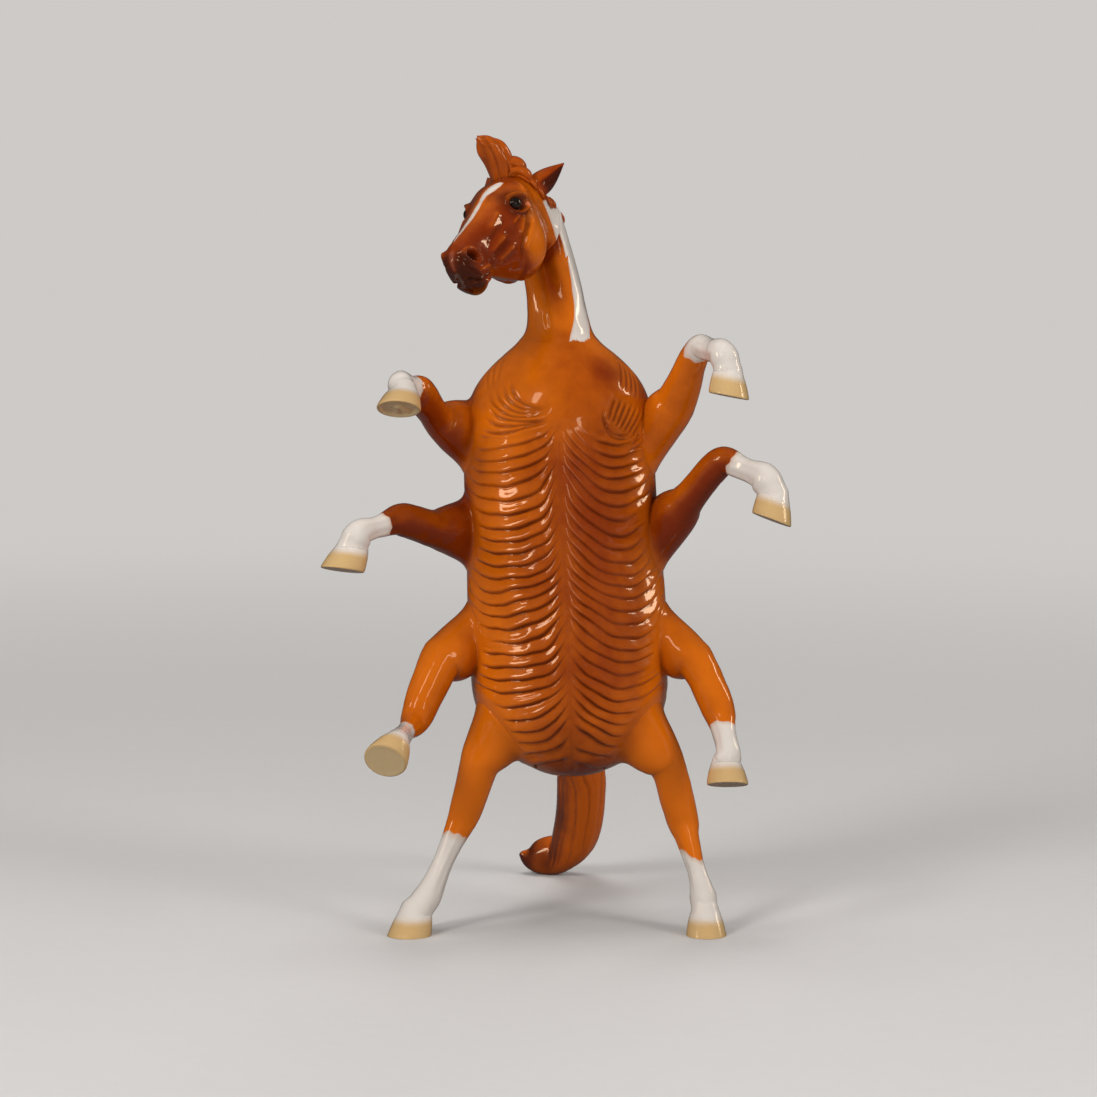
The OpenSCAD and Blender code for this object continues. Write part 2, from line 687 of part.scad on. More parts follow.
function tail_rings() =
    let (
        f = join_frame(180, tail_h),
        turns = [for (i = [0 : lock_sides - 1]) i * 360 / lock_sides],
        last = len(tail_shares) - 1,
        broad = [1, -0.25, 0.1],
        sweep = [
            for (u = [0 : 0.4 : last])
                let (
                    s = along(tail_shares, u),
                    c = tail_point(s),
                    ahead = tail_point(along(tail_shares, min(u + look_share, last))),
                    behind = tail_point(along(tail_shares, max(u - look_share, 0))),
                    t = unit(ahead - behind),
                    e = unit(broad - t * (broad * t)),
                    turned = unit(mix(e, [0, 1, 0] - t * t[1], ease((u - 5) / 2.5))),
                    n = cross(t, turned)
                )
                [
                    for (a = turns)
                        let (lock = 1 + 0.07 * cos(5 * a + 30 * u) * ease(u))
                        c + (turned * cos(a) * s[3] + n * sin(a) * s[4]) * lock * tail_w / 2
                ]
        ],
        patch = [
            for (k = [0.5, 1])
                [
                    for (p = sweep[0])
                        let (v = p - f[0], w = unit([v * f[2], v * f[3]]))
                        to_barrel(f[0] + k * (f[2] * w[0] + f[3] * w[1]) * tail_w * 0.46, glue_gap)
                ]
        ]
    )
    concat(patch, [
        for (j = [1 : len(sweep) - 1])
            [for (i = [0 : len(turns) - 1]) off_barrel(mix(patch[1][i], sweep[j][i], ease(j / 2.4)), glue_gap)]
    ]);

module tail() {
    color("saddlebrown")
        difference() {
            skin(tail_rings());
            ground();
            tail_bar(bore_gap, bore_end);
        }
}

module tail_bar(grow = 0, room = 0) {
    f = join_frame(180, tail_h);
    way = unit(f[1] * 2 - f[3]);
    bar(f[0] - way * (pin_l / 2 + room), way, pin_l + 2 * room, dowel_d, grow);
}

// What lies under the ground
module ground() {
    reach = barrel_l;
    translate([-reach, -reach, -hoof_h])
        cube([2 * reach, 2 * reach, hoof_h]);
}

// Forelock: a tuft blown up and to the left
forelock_shares = [
    [0, 0, 0, 0.20, 0.17],
    [-0.02, -0.02, 0.166, 0.212, 0.17],
    [-0.063, -0.04, 0.35, 0.222, 0.16],
    [-0.147, -0.07, 0.497, 0.225, 0.14],
    [-0.21, -0.10, 0.62, 0.235, 0.12],
    [-0.25, -0.12, 0.73, 0.20, 0.09],
    [-0.255, -0.125, 0.80, 0.05, 0.03]];
forelock_share = 0.75;
forelock_turn = -4;

module forelock() {
    row = head_rows * forelock_share;
    place = forelock_turn;
    base = on_head(row, place, glue_gap);
    turns = [for (i = [0 : lock_sides - 1]) i * 360 / lock_sides];
    last = len(forelock_shares) - 1;
    broad = [1, 0, 0.2];
    sweep = [
        for (u = [0 : 0.5 : last])
            let (
                s = along(forelock_shares, u),
                after = along(forelock_shares, min(u + look_share, last)),
                before = along(forelock_shares, max(u - look_share, 0)),
                q = after - before,
                t = unit([q[0], q[1], q[2]]),
                e = unit(broad - t * (broad * t)),
                n = cross(t, e)
            )
            [
                for (a = turns)
                    base + (
                        [s[0], s[1], s[2]] + (e * cos(a) * s[3] + n * sin(a) * s[4]) * (1 + 0.14 * cos(4 * a + 25 * u))
                    ) * forelock_l
            ]
    ];
    patch = [
        for (k = [0.5, 1])
            [
                for (p = sweep[0])
                    let (v = p - base, w = unit([v * head_side, v * head_ahead]))
                    on_head(row - 0.9 * k * w[1], place + 30 * k * w[0], glue_gap)
            ]
    ];
    color("saddlebrown")
        skin(concat(patch, [for (j = [1 : len(sweep) - 1]) sweep[j]]));
}

module standing_leg(spec) {
    difference() {
        leg(spec);
        ground();
    }
}

barrel();
neck();
head();
ear(0, [-0.30, 0.8, 0.45]);  // left_ear
ear(1, [0.74, 0.2, 0.64]);  // right_ear
forelock();
mane();
leg(left_fore);  // left_fore_leg
leg(right_fore);  // right_fore_leg
leg(left_second);  // left_second_leg
leg(right_second);  // right_second_leg
leg(left_third);  // left_third_leg
leg(right_third);  // right_third_leg
standing_leg(left_hind);  // left_hind_leg
standing_leg(right_hind);  // right_hind_leg
leg_bar(left_fore);  // left_fore_pin
leg_bar(right_fore);  // right_fore_pin
leg_bar(left_second);  // left_second_pin
leg_bar(right_second);  // right_second_pin
leg_bar(left_third);  // left_third_pin
leg_bar(right_third);  // right_third_pin
leg_bar(left_hind);  // left_hind_pin
leg_bar(right_hind);  // right_hind_pin
tail();
tail_bar();  // tail_pin
dowel();  // neck_dowel
head_bar();  // head_pin
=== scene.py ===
"""A glossy model horse with eight legs: the looks of it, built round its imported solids.

Lengths are in millimetres, as on a modeller's drawing, and a mesh becomes metres when it is made.
Left and right are those of someone looking at the belly, which faces -Y.
"""

import logging
import math
from collections.abc import Sequence
from dataclasses import dataclass, field
from enum import Enum

import bpy
import numpy as np
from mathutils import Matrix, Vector
from numpy.typing import NDArray


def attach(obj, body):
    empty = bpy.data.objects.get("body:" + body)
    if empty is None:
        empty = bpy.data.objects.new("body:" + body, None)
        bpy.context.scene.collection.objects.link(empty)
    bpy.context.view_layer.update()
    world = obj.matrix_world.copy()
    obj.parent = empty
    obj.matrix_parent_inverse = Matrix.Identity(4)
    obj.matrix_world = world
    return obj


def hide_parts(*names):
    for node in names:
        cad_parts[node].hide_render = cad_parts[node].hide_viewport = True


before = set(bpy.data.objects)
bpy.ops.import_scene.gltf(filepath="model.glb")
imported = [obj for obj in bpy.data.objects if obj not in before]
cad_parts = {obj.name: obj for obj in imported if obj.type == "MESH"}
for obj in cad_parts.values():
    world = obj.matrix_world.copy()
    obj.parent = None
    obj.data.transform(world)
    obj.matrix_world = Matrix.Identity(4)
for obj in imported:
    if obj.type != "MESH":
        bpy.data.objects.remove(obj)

Points = NDArray[np.float64]
Value = float | Points
Colour = tuple[int, int, int]

LOG = logging.getLogger("model_horse")
MM = 0.001
TINY = 1e-12
BODY = "root"
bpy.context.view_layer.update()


# Sums on points


def unit(v: Points) -> Points:
    """Vectors of length one."""
    return v / np.maximum(np.linalg.norm(v, axis=-1, keepdims=True), TINY)


def ease(t: Value) -> Value:
    """A smooth step from 0 to 1."""
    c = np.clip(t, 0.0, 1.0)
    return c * c * (3 - 2 * c)


def rises(x: Value, start: Value, span: float) -> Value:
    """0 up to a start, and 1 from a span past it."""
    return ease((x - start) / span)


def falls(x: Value, end: Value, span: float) -> Value:
    """1 until a span before an end, and 0 past it."""
    return ease((end - x) / span)


def bell(x: Value, width: float, power: int = 2) -> Value:
    """1 at 0, and dying away over a width to each side."""
    return np.exp(-((x / width) ** power))


def mix(a: Value, b: Value, t: Value) -> Value:
    """A value on the way from a to b."""
    return a + (b - a) * t


def along(rows: Points, u: Points) -> Points:
    """Follows a table's rows on a smooth curve.

    Args:
        rows: The table, one row a station.
        u: Row numbers, whole or broken.

    Returns:
        One row of values for each row number.
    """
    last = len(rows) - 1
    k = np.clip(np.floor(u).astype(int), 0, last - 1)
    t = (u - k)[..., None]
    a, b = rows[k], rows[k + 1]
    p = np.where((k == 0)[..., None], b - a, (b - rows[np.maximum(k - 1, 0)]) / 2)
    q = np.where((k == last - 1)[..., None], b - a, (rows[np.minimum(k + 2, last)] - a) / 2)
    return a + (p + (3 * (b - a) - 2 * p - q + (p + q - 2 * (b - a)) * t) * t) * t


def row_at(rows: Points, key: Value) -> Points:
    """The row number that a key in a table's first column stands for."""
    return np.interp(key, rows[:, 0], np.arange(len(rows), dtype=float))


def wander(place: Points, size: float, seed: int) -> Points:
    """A smooth value, about -1 to 1, that wanders over space.

    Args:
        place: Points.
        size: How far apart its crests are.
        seed: Which of its patterns.

    Returns:
        One value for each point.
    """
    dice = np.random.default_rng(seed)
    waves, finer = 4, 1.9
    total = np.zeros(place.shape[:-1])
    for octave in range(3):
        for _ in range(waves):
            way = unit(dice.normal(size=3)) * (2 * math.pi / size) * finer**octave
            total += np.sin(place @ way + dice.uniform(0, 2 * math.pi)) / finer**octave
    return total / waves


def stroke(place: Points, line: Points, width: float, taper: float = 0.25) -> Points:
    """How strongly a tool drawn along a line marks each point.

    Args:
        place: Points, in space or on a drawing.
        line: The line's points, in the same coordinates.
        width: Half width of the mark.
        taper: Share of the line at each end over which the mark dies away.

    Returns:
        0 to 1 for each point.
    """
    flat = place.reshape(-1, place.shape[-1])
    mark = np.zeros(len(flat))
    reach = 3 * width
    near = np.flatnonzero(((flat > line.min(0) - reach) & (flat < line.max(0) + reach)).all(1))
    p = flat[near]
    best = np.full(len(p), np.inf)
    share = np.zeros(len(p))
    for k in range(len(line) - 1):
        a, d = line[k], line[k + 1] - line[k]
        t = np.clip((p - a) @ d / max(d @ d, TINY), 0, 1)
        gap = np.linalg.norm(p - a - t[:, None] * d, axis=1)
        closer = gap < best
        best = np.where(closer, gap, best)
        share = np.where(closer, (k + t) / (len(line) - 1), share)
    mark[near] = bell(best, width) * (ease(share / taper) * ease((1 - share) / taper))
    return mark.reshape(place.shape[:-1])


def curve(line: Points, count: int) -> Points:
    """A smooth line of many points through a few."""
    return along(line, np.linspace(0, len(line) - 1, count))


def turns(sides: int) -> Points:
    """Angles round a ring."""
    return np.linspace(0, 2 * np.pi, sides, endpoint=False)


def rings_about(middle: Points, across: Points, up: Points, x: Points, y: Points) -> Points:
    """Rings about a line of middles.

    Args:
        middle: The middles.
        across: The way of x, for each ring or for all.
        up: The way of y, for each ring or for all.
        x: How far across each point of each ring is.
        y: How far up it is.

    Returns:
        The rings' points.
    """
    return middle[:, None] + across[..., None, :] * x[..., None] + up[..., None, :] * y[..., None]


def spokes(ring: Points, middle: Points, across: Points, up: Points) -> Points:
    """Ways of length one from a middle to a ring's points, as shares of two directions."""
    v = ring - middle
    return unit(np.stack([v @ across, v @ up], axis=-1))


def seated(u: Points, span: float) -> Points:
    """How far out of the barrel a root's rows lie: sunk where it starts, just clear a span on."""
    return (0.02 - 0.30 * (1 - ease(u / span)))[:, None]


# Skins


@dataclass
class Skin:
    """Rings of points that close round a form, with the paint's fields over them."""

    rings: Points
    fields: dict[str, Points] = field(default_factory=dict)

    def normals(self) -> Points:
        """The way out of the form.

        Returns:
            A way of length one at each point.
        """
        up = np.gradient(self.rings, axis=0)
        across = np.roll(self.rings, -1, axis=1) - np.roll(self.rings, 1, axis=1)
        return unit(np.cross(across, up))

    def swell(self, height: Points) -> None:
        """Moves each point out by a height."""
        self.rings = self.rings + self.normals() * height[..., None]

    def faces(self, start: int) -> list[tuple[int, ...]]:
        """Faces of the skin, closed at both ends.

        Args:
            start: Number of the skin's first point in its mesh.

        Returns:
            The faces' corners.
        """
        rows, sides = self.rings.shape[:2]
        grid = start + np.arange(rows * sides).reshape(rows, sides)
        turned = np.roll(grid, -1, axis=1)
        quads = np.stack([grid[:-1], turned[:-1], turned[1:], grid[1:]], axis=-1).reshape(-1, 4)
        foot, top = start + rows * sides, start + rows * sides + 1
        ends = [(foot, int(b), int(a)) for a, b in zip(grid[0], turned[0])]
        ends += [(top, int(a), int(b)) for a, b in zip(grid[-1], turned[-1])]
        return [tuple(q) for q in quads.tolist()] + ends

    def points(self) -> Points:
        """All points, the two end points last."""
        return np.concatenate([self.rings.reshape(-1, 3), self.rings[[0, -1]].mean(axis=1)])

    def values(self, name: str) -> Points:
        """A field's value at each of the points."""
        rows = self.fields.get(name, np.zeros(self.rings.shape[:2]))
        return np.concatenate([rows.ravel(), rows[[0, -1]].mean(axis=1)])


FIELDS = ("groove", "shade", "white", "horn", "soot_and_shade", "flesh_and_sheen")


def show(
    skins: Sequence[Skin],
    name: str,
    material: bpy.types.Material,
    stands_for: Sequence[str] = (),
) -> None:
    """Makes one piece of the model from its skins, riding on its body.

    Args:
        skins: The closed forms that the piece is made of.
        name: The piece's name.
        material: Its finish.
        stands_for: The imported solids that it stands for.
    """
    points, faces, start = [], [], 0
    for skin in skins:
        points.append(skin.points())
        faces += skin.faces(start)
        start += len(points[-1])
    mesh = bpy.data.meshes.new(name)
    mesh.from_pydata((np.concatenate(points) * MM).tolist(), [], faces)
    mesh.polygons.foreach_set("use_smooth", np.ones(len(mesh.polygons), bool))
    for title in FIELDS:
        values = np.concatenate([skin.values(title) for skin in skins])
        mesh.attributes.new(title, "FLOAT", "POINT").data.foreach_set("value", values.astype(np.float32))
    mesh.materials.append(material)
    mesh.update()
    piece = bpy.data.objects.new(name, mesh)
    bpy.context.scene.collection.objects.link(piece)
    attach(piece, BODY)
    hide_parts(*stands_for)
    LOG.info("%s: %d faces for %s", name, len(faces), ", ".join(stands_for) or "no solid")


# Shader sums


def paint(red: int, green: int, blue: int) -> tuple[float, float, float, float]:
    """A colour in a shader's own values.

    Args:
        red: Its red on the screen, 0 to 255.
        green: Its green.
        blue: Its blue.

    Returns:
        The three in linear light, and full cover.
    """
    parts = [c / 255 for c in (red, green, blue)]
    linear = [p / 12.92 if p <= 0.04045 else ((p + 0.055) / 1.055) ** 2.4 for p in parts]
    return (*linear, 1.0)


@dataclass(frozen=True)
class Wire:
    """An output in a material that Python can do sums with."""

    desk: "Desk"
    socket: bpy.types.NodeSocket

    def sum(self, operation: str, *values: "Wire | float") -> "Wire":
        """One Math node."""
        return self.desk.node("ShaderNodeMath", {"operation": operation}, dict(enumerate(values)))

    def __add__(self, other: "Wire | float") -> "Wire":
        """self + other."""
        return self.sum("ADD", self, other)

    def __radd__(self, other: float) -> "Wire":
        """other + self."""
        return self.sum("ADD", other, self)

    def __sub__(self, other: "Wire | float") -> "Wire":
        """self - other."""
        return self.sum("SUBTRACT", self, other)

    def __rsub__(self, other: float) -> "Wire":
        """other - self."""
        return self.sum("SUBTRACT", other, self)

    def __mul__(self, other: "Wire | float") -> "Wire":
        """self * other."""
        return self.sum("MULTIPLY", self, other)

    def __rmul__(self, other: float) -> "Wire":
        """other * self."""
        return self.sum("MULTIPLY", other, self)

    def step(self, low: float, high: float) -> "Wire":
        """A smooth step from 0 at low to 1 at high."""
        sockets = {"Value": self, "From Min": low, "From Max": high}
        return self.desk.node("ShaderNodeMapRange", {"interpolation_type": "SMOOTHSTEP"}, sockets)


class Desk:
    """One material, and the way its nodes are laid down."""

    def __init__(self, name: str) -> None:
        """Starts an empty material of that name."""
        self.material = bpy.data.materials.new(name)
        self.material.use_nodes = True
        self.tree = self.material.node_tree
        self.tree.nodes.clear()

    def node(
        self,
        kind: str,
        settings: dict[str, object] | None = None,
        inputs: dict[str | int, object] | None = None,
        output: str | int = 0,
    ) -> Wire:
        """Lays down one node.

        Args:
            kind: The node's type.
            settings: Its settings, set first.
            inputs: The values or wires of its sockets.
            output: The socket to hand back.

        Returns:
            That output.
        """
        made = self.tree.nodes.new(kind)
        for name, value in (settings or {}).items():
            setattr(made, name, value)
        for key, value in (inputs or {}).items():
            if isinstance(value, Wire):
                self.tree.links.new(value.socket, made.inputs[key])
            else:
                made.inputs[key].default_value = value
        return Wire(self, made.outputs[output])

    def field(self, name: str) -> Wire:
        """A paint field of the mesh."""
        return self.node("ShaderNodeAttribute", {"attribute_name": name}, output="Fac")

    def noise(self, size: float, detail: float = 3.0, rough: float = 0.5) -> Wire:
        """Noise over the model.

        Args:
            size: About how many millimetres across its patches are.
            detail: How many finer layers it has.
            rough: How strong they are.

        Returns:
            The noise.
        """
        place = self.node("ShaderNodeTexCoord", output="Object")
        sockets = {"Vector": place, "Scale": 1 / (size * MM), "Detail": detail, "Roughness": rough}
        return self.node("ShaderNodeTexNoise", None, sockets)

    def tint(self, share: Wire | float, under: Wire | Colour, over: Wire | Colour) -> Wire:
        """One colour laid over another."""
        under, over = (c if isinstance(c, Wire) else paint(*c) for c in (under, over))
        return self.node("ShaderNodeMix", {"data_type": "RGBA"}, {0: share, 6: under, 7: over}, output=2)

    def bump(self, height: Wire, depth: float, strength: float) -> Wire:
        """A fine relief of that depth in millimetres."""
        sockets = {"Height": height, "Distance": depth * MM, "Strength": strength}
        return self.node("ShaderNodeBump", None, sockets)

    def surface(self, inputs: dict[str | int, object]) -> bpy.types.Material:
        """Ends the material in a Principled surface."""
        return self.finish(self.node("ShaderNodeBsdfPrincipled", None, inputs))

    def finish(self, shader: Wire) -> bpy.types.Material:
        """Ends the material in any shader.

        Args:
            shader: The shader.

        Returns:
            The material.
        """
        out = self.tree.nodes.new("ShaderNodeOutputMaterial")
        self.tree.links.new(shader.socket, out.inputs["Surface"])
        return self.material


@dataclass(frozen=True)
class GlossPaint:
    """Hand-laid paint under a thick gloss coat, with patches, specks and grain of sizes in millimetres, and
    painted shade, painted light and a painted sheen laid in by its fields.
    """

    light: Colour = (214, 106, 10)
    deep: Colour = (128, 42, 1)
    groove_shade: Colour = (92, 26, 0)
    white: Colour = (216, 206, 196)
    pale: Colour = (206, 180, 162)
    horn: Colour = (200, 164, 112)
    sole: Colour = (216, 188, 142)
    soot_and_shade: Colour = (52, 16, 4)
    flesh_and_sheen: Colour = (196, 116, 84)
    patch: float = 9.0
    speck: float = 1.6
    grain: float = 0.22
    brush: float = 0.03
    dull: float = 0.24
    gloss: float = 0.9
    gloss_rough: float = 0.04
    gloss_index: float = 1.5
    under_gloss: float = 0.12

    def material(self, name: str) -> bpy.types.Material:
        """The finish as a material.

        Args:
            name: The material's name.

        Returns:
            The material, which reads the mesh's paint fields.
        """
        desk = Desk(name)
        cloud = desk.noise(self.patch)
        mottle = desk.noise(self.speck, 4.0, 0.6)
        grain = desk.noise(self.grain, 3.0, 0.6)
        drift, stray, dust = cloud - 0.5, mottle - 0.5, grain - 0.5
        # The brown's depth, the groove's dark and the sooty dark carry painted shade; the pink carries a
        # painted sheen on the nose.
        depth = (desk.field("shade") + (drift * 0.55 + stray * 0.25)).step(0.05, 0.95)
        colour = desk.tint(depth, self.light, self.deep)
        # Painted shade: grooves, cuts, creases and the gaps between strands painted darker.
        groove_shade = (desk.field("groove") + stray * 0.15).step(0.08, 1.05)
        colour = desk.tint(groove_shade * 0.85, colour, self.groove_shade)
        flesh_and_sheen = (desk.field("flesh_and_sheen") + stray * 0.3).step(0.3, 0.8)
        colour = desk.tint(flesh_and_sheen * 0.8, colour, self.flesh_and_sheen)
        soot_and_shade = (desk.field("soot_and_shade") + drift * 0.25 + stray * 0.2).step(0.2, 0.95)
        colour = desk.tint(soot_and_shade * 0.92, colour, self.soot_and_shade)
        ragged = desk.field("white") + stray * 0.22 + dust * 0.08
        milk = desk.tint(ragged.step(0.5, 0.95), self.pale, self.white)
        milk = desk.tint(stray.step(0.0, 0.5) * 0.35, milk, self.pale)
        colour = desk.tint(ragged.step(0.46, 0.56), colour, milk)
        horn = desk.field("horn")
        nail = desk.tint((horn + stray * 0.3).step(0.95, 1.9), self.horn, self.sole)
        colour = desk.tint((horn + stray * 0.22).step(0.12, 0.80), colour, nail)
        rough = mottle * 0.1 + grain * 0.06 + desk.field("groove") * 0.12 + self.dull
        return desk.surface(
            {
                "Base Color": colour,
                "Roughness": rough.step(0.0, 1.0),
                "Normal": desk.bump(grain * 0.6 + mottle * 0.4, self.brush, 0.35),
                "Coat Weight": self.gloss,
                "Coat Roughness": self.gloss_rough,
                "Coat IOR": self.gloss_index,
                "Specular IOR Level": self.under_gloss,
            }
        )


@dataclass(frozen=True)
class EyePaint:
    """Black glaze over a dark brown iris."""

    black: Colour = (10, 7, 6)
    brown: Colour = (46, 22, 10)
    fleck: float = 0.35
    glaze: float = 0.05
    gloss_rough: float = 0.02

    def material(self, name: str) -> bpy.types.Material:
        """The finish as a material.

        Args:
            name: The material's name.

        Returns:
            The material.
        """
        desk = Desk(name)
        fleck = desk.noise(self.fleck, 3.0, 0.6)
        return desk.surface(
            {
                "Base Color": desk.tint(fleck.step(0.45, 0.7) * 0.6, self.black, self.brown),
                "Roughness": fleck * 0.04 + self.glaze,
                "Coat Weight": 1.0,
                "Coat Roughness": self.gloss_rough,
            }
        )


@dataclass(frozen=True)
class DrawnWire:
    """Steel wire with the fine lines of its drawing."""

    steel: Colour = (176, 177, 180)
    worn: Colour = (140, 138, 134)
    line: float = 0.3
    polish: float = 0.2

    def material(self, name: str) -> bpy.types.Material:
        """The finish as a material.

        Args:
            name: The material's name.

        Returns:
            The material.
        """
        desk = Desk(name)
        grain = desk.noise(self.line, 4.0, 0.7)
        colour = desk.tint(grain.step(0.35, 0.7), self.steel, self.worn)
        return desk.surface({"Base Color": colour, "Roughness": grain * 0.25 + self.polish, "Metallic": 1.0})


@dataclass(frozen=True)
class StudioPaper:
    """Plain pale paper under the model, which fades into an even tone far from it."""

    tone: Colour = (210, 207, 204)
    far: Colour = (205, 202, 199)
    thrown: Colour = (112, 104, 100)
    fibre: float = 3.0
    lift: int = 4
    dull: float = 0.85
    sheen: float = 0.1
    fade_start: float = 0.10
    fade_end: float = 0.46

    def material(self, name: str) -> bpy.types.Material:
        """The finish as a material.

        Args:
            name: The material's name.

        Returns:
            The material.
        """
        desk = Desk(name)
        lighter = tuple(min(255, c + self.lift) for c in self.tone)
        colour = desk.tint(desk.noise(self.fibre, 4.0, 0.6), self.tone, lighter)
        sockets = {"Base Color": colour, "Roughness": self.dull, "Specular IOR Level": self.sheen}
        near = desk.node("ShaderNodeBsdfPrincipled", None, sockets)
        far = desk.node("ShaderNodeEmission", None, {"Color": paint(*self.far), "Strength": 1.0})
        place = desk.node("ShaderNodeTexCoord", output="Object")
        depth = desk.node("ShaderNodeVectorMath", {"operation": "LENGTH"}, {0: place}, output="Value")
        seen = desk.node("ShaderNodeLightPath", output="Is Camera Ray")
        thrown = desk.node("ShaderNodeBsdfDiffuse", None, {"Color": paint(*self.thrown)})
        near = desk.node("ShaderNodeMixShader", None, {0: seen, 1: thrown, 2: near})
        fade = seen * depth.step(self.fade_start, self.fade_end)
        return desk.finish(desk.node("ShaderNodeMixShader", None, {0: fade, 1: near, 2: far}))


# The barrel


# Height, then half width, belly, back and lean to the right, as shares of the length, width and depth
BARREL_SHARES = np.array(
    [
        [0, 0.49, 0.50, 0.44, 0.050],
        [0.12, 0.495, 0.505, 0.46, 0.045],
        [0.30, 0.497, 0.515, 0.475, 0.033],
        [0.40, 0.500, 0.515, 0.48, 0.024],
        [0.51, 0.492, 0.505, 0.48, 0.012],
        [0.63, 0.484, 0.49, 0.475, -0.005],
        [0.74, 0.478, 0.47, 0.465, -0.014],
        [0.84, 0.462, 0.435, 0.45, -0.014],
        [0.88, 0.436, 0.405, 0.43, -0.012],
        [0.92, 0.382, 0.36, 0.40, -0.010],
        [0.96, 0.296, 0.29, 0.345, -0.010],
        [1, 0.180, 0.20, 0.27, -0.012],
    ]
)


@dataclass(frozen=True)
class Fan:
    """A fan of tool marks between two arcs, each drawn through bearings and heights on the barrel."""

    first: tuple[tuple[float, float], ...]
    last: tuple[tuple[float, float], ...]
    count: int
    width: float
    depth: float
    points: int = 14

    def lines(self) -> list[Points]:
        """Each mark's bearings and heights."""
        a, b = np.array(self.first), np.array(self.last)
        return [curve(mix(a, b, t), self.points) for t in np.linspace(0, 1, self.count)]


@dataclass(frozen=True)
class RibForm:
    """How the ribs are cut, where a pitch runs from one groove up to the next.

    Attributes:
        lag: Pitches by which the right side's ribs are out of step with the left's.
        sway: Pitches by which the ribs stray together, over sway_size millimetres.
        tremble: Pitches by which each wavers, over tremble_size millimetres.
        climb: Share of the pitch over which a rib climbs out of its groove.
        foot: Height in the groove, as a share of the relief.
        crown: Height at the crown.
        fall: How far the rib falls behind its crown, on a curve of power hollow.
        cut: Depth of the knife's line in the groove.
        groove_shade: How dark the painted shade in the groove is, up to groove_shade_end of the pitch.
        scratch: Depth of the fine line along some ribs.
        start: Degrees from the keel at which a rib starts, at most.
        end: Degrees at which it ends, and up to stray more.
        short: Roll above which a rib is short and ends at short_end degrees.
        spare: Rolls for ribs past the last.
    """

    lag: float = 0.42
    sway: float = 0.46
    sway_size: float = 13.0
    tremble: float = 0.04
    tremble_size: float = 5.0
    climb: float = 0.24
    foot: float = -0.84
    crown: float = -0.10
    fall: float = 0.68
    hollow: float = 1.15
    cut: float = 0.22
    cut_width: float = 0.075
    groove_shade: float = 0.80
    groove_shade_width: float = 0.27
    groove_shade_end: float = 0.6
    scratch: float = 0.10
    scratch_shade: float = 0.25
    scratch_at: float = 0.62
    scratch_width: float = 0.07
    start: float = 6.0
    end: float = 82.0
    stray: float = 16.0
    short: float = 0.88
    short_end: float = 58.0
    spare: int = 12


@dataclass(frozen=True)
class PaintedShade:
    """How deep the brown is on the barrel, part by part, and the sizes of its round patches: darker down the
    belly's middle, painted shade round the limbs' roots, in the chest's hollow and along the bottom, and
    painted light on the left and right flanks.
    """

    ground: float = 0.28
    middle: float = 0.27
    belly: float = 0.18
    root: float = 0.45
    root_size: float = 5.6
    armpit: float = 0.65
    armpit_size: float = 2.8
    armpit_up: float = 4.6
    spot: float = 0.45
    spot_size: float = 2.4
    spot_bearing: float = 44.0
    spot_height: float = 58.7
    bottom: float = 0.35
    bottom_share: float = 0.08
    left: float = -0.20
    right: float = -0.26


@dataclass(frozen=True)
class Join:
    """Where a limb meets the barrel: its middle, the way round and the way up."""

    middle: Points
    round: Points
    rise: Points


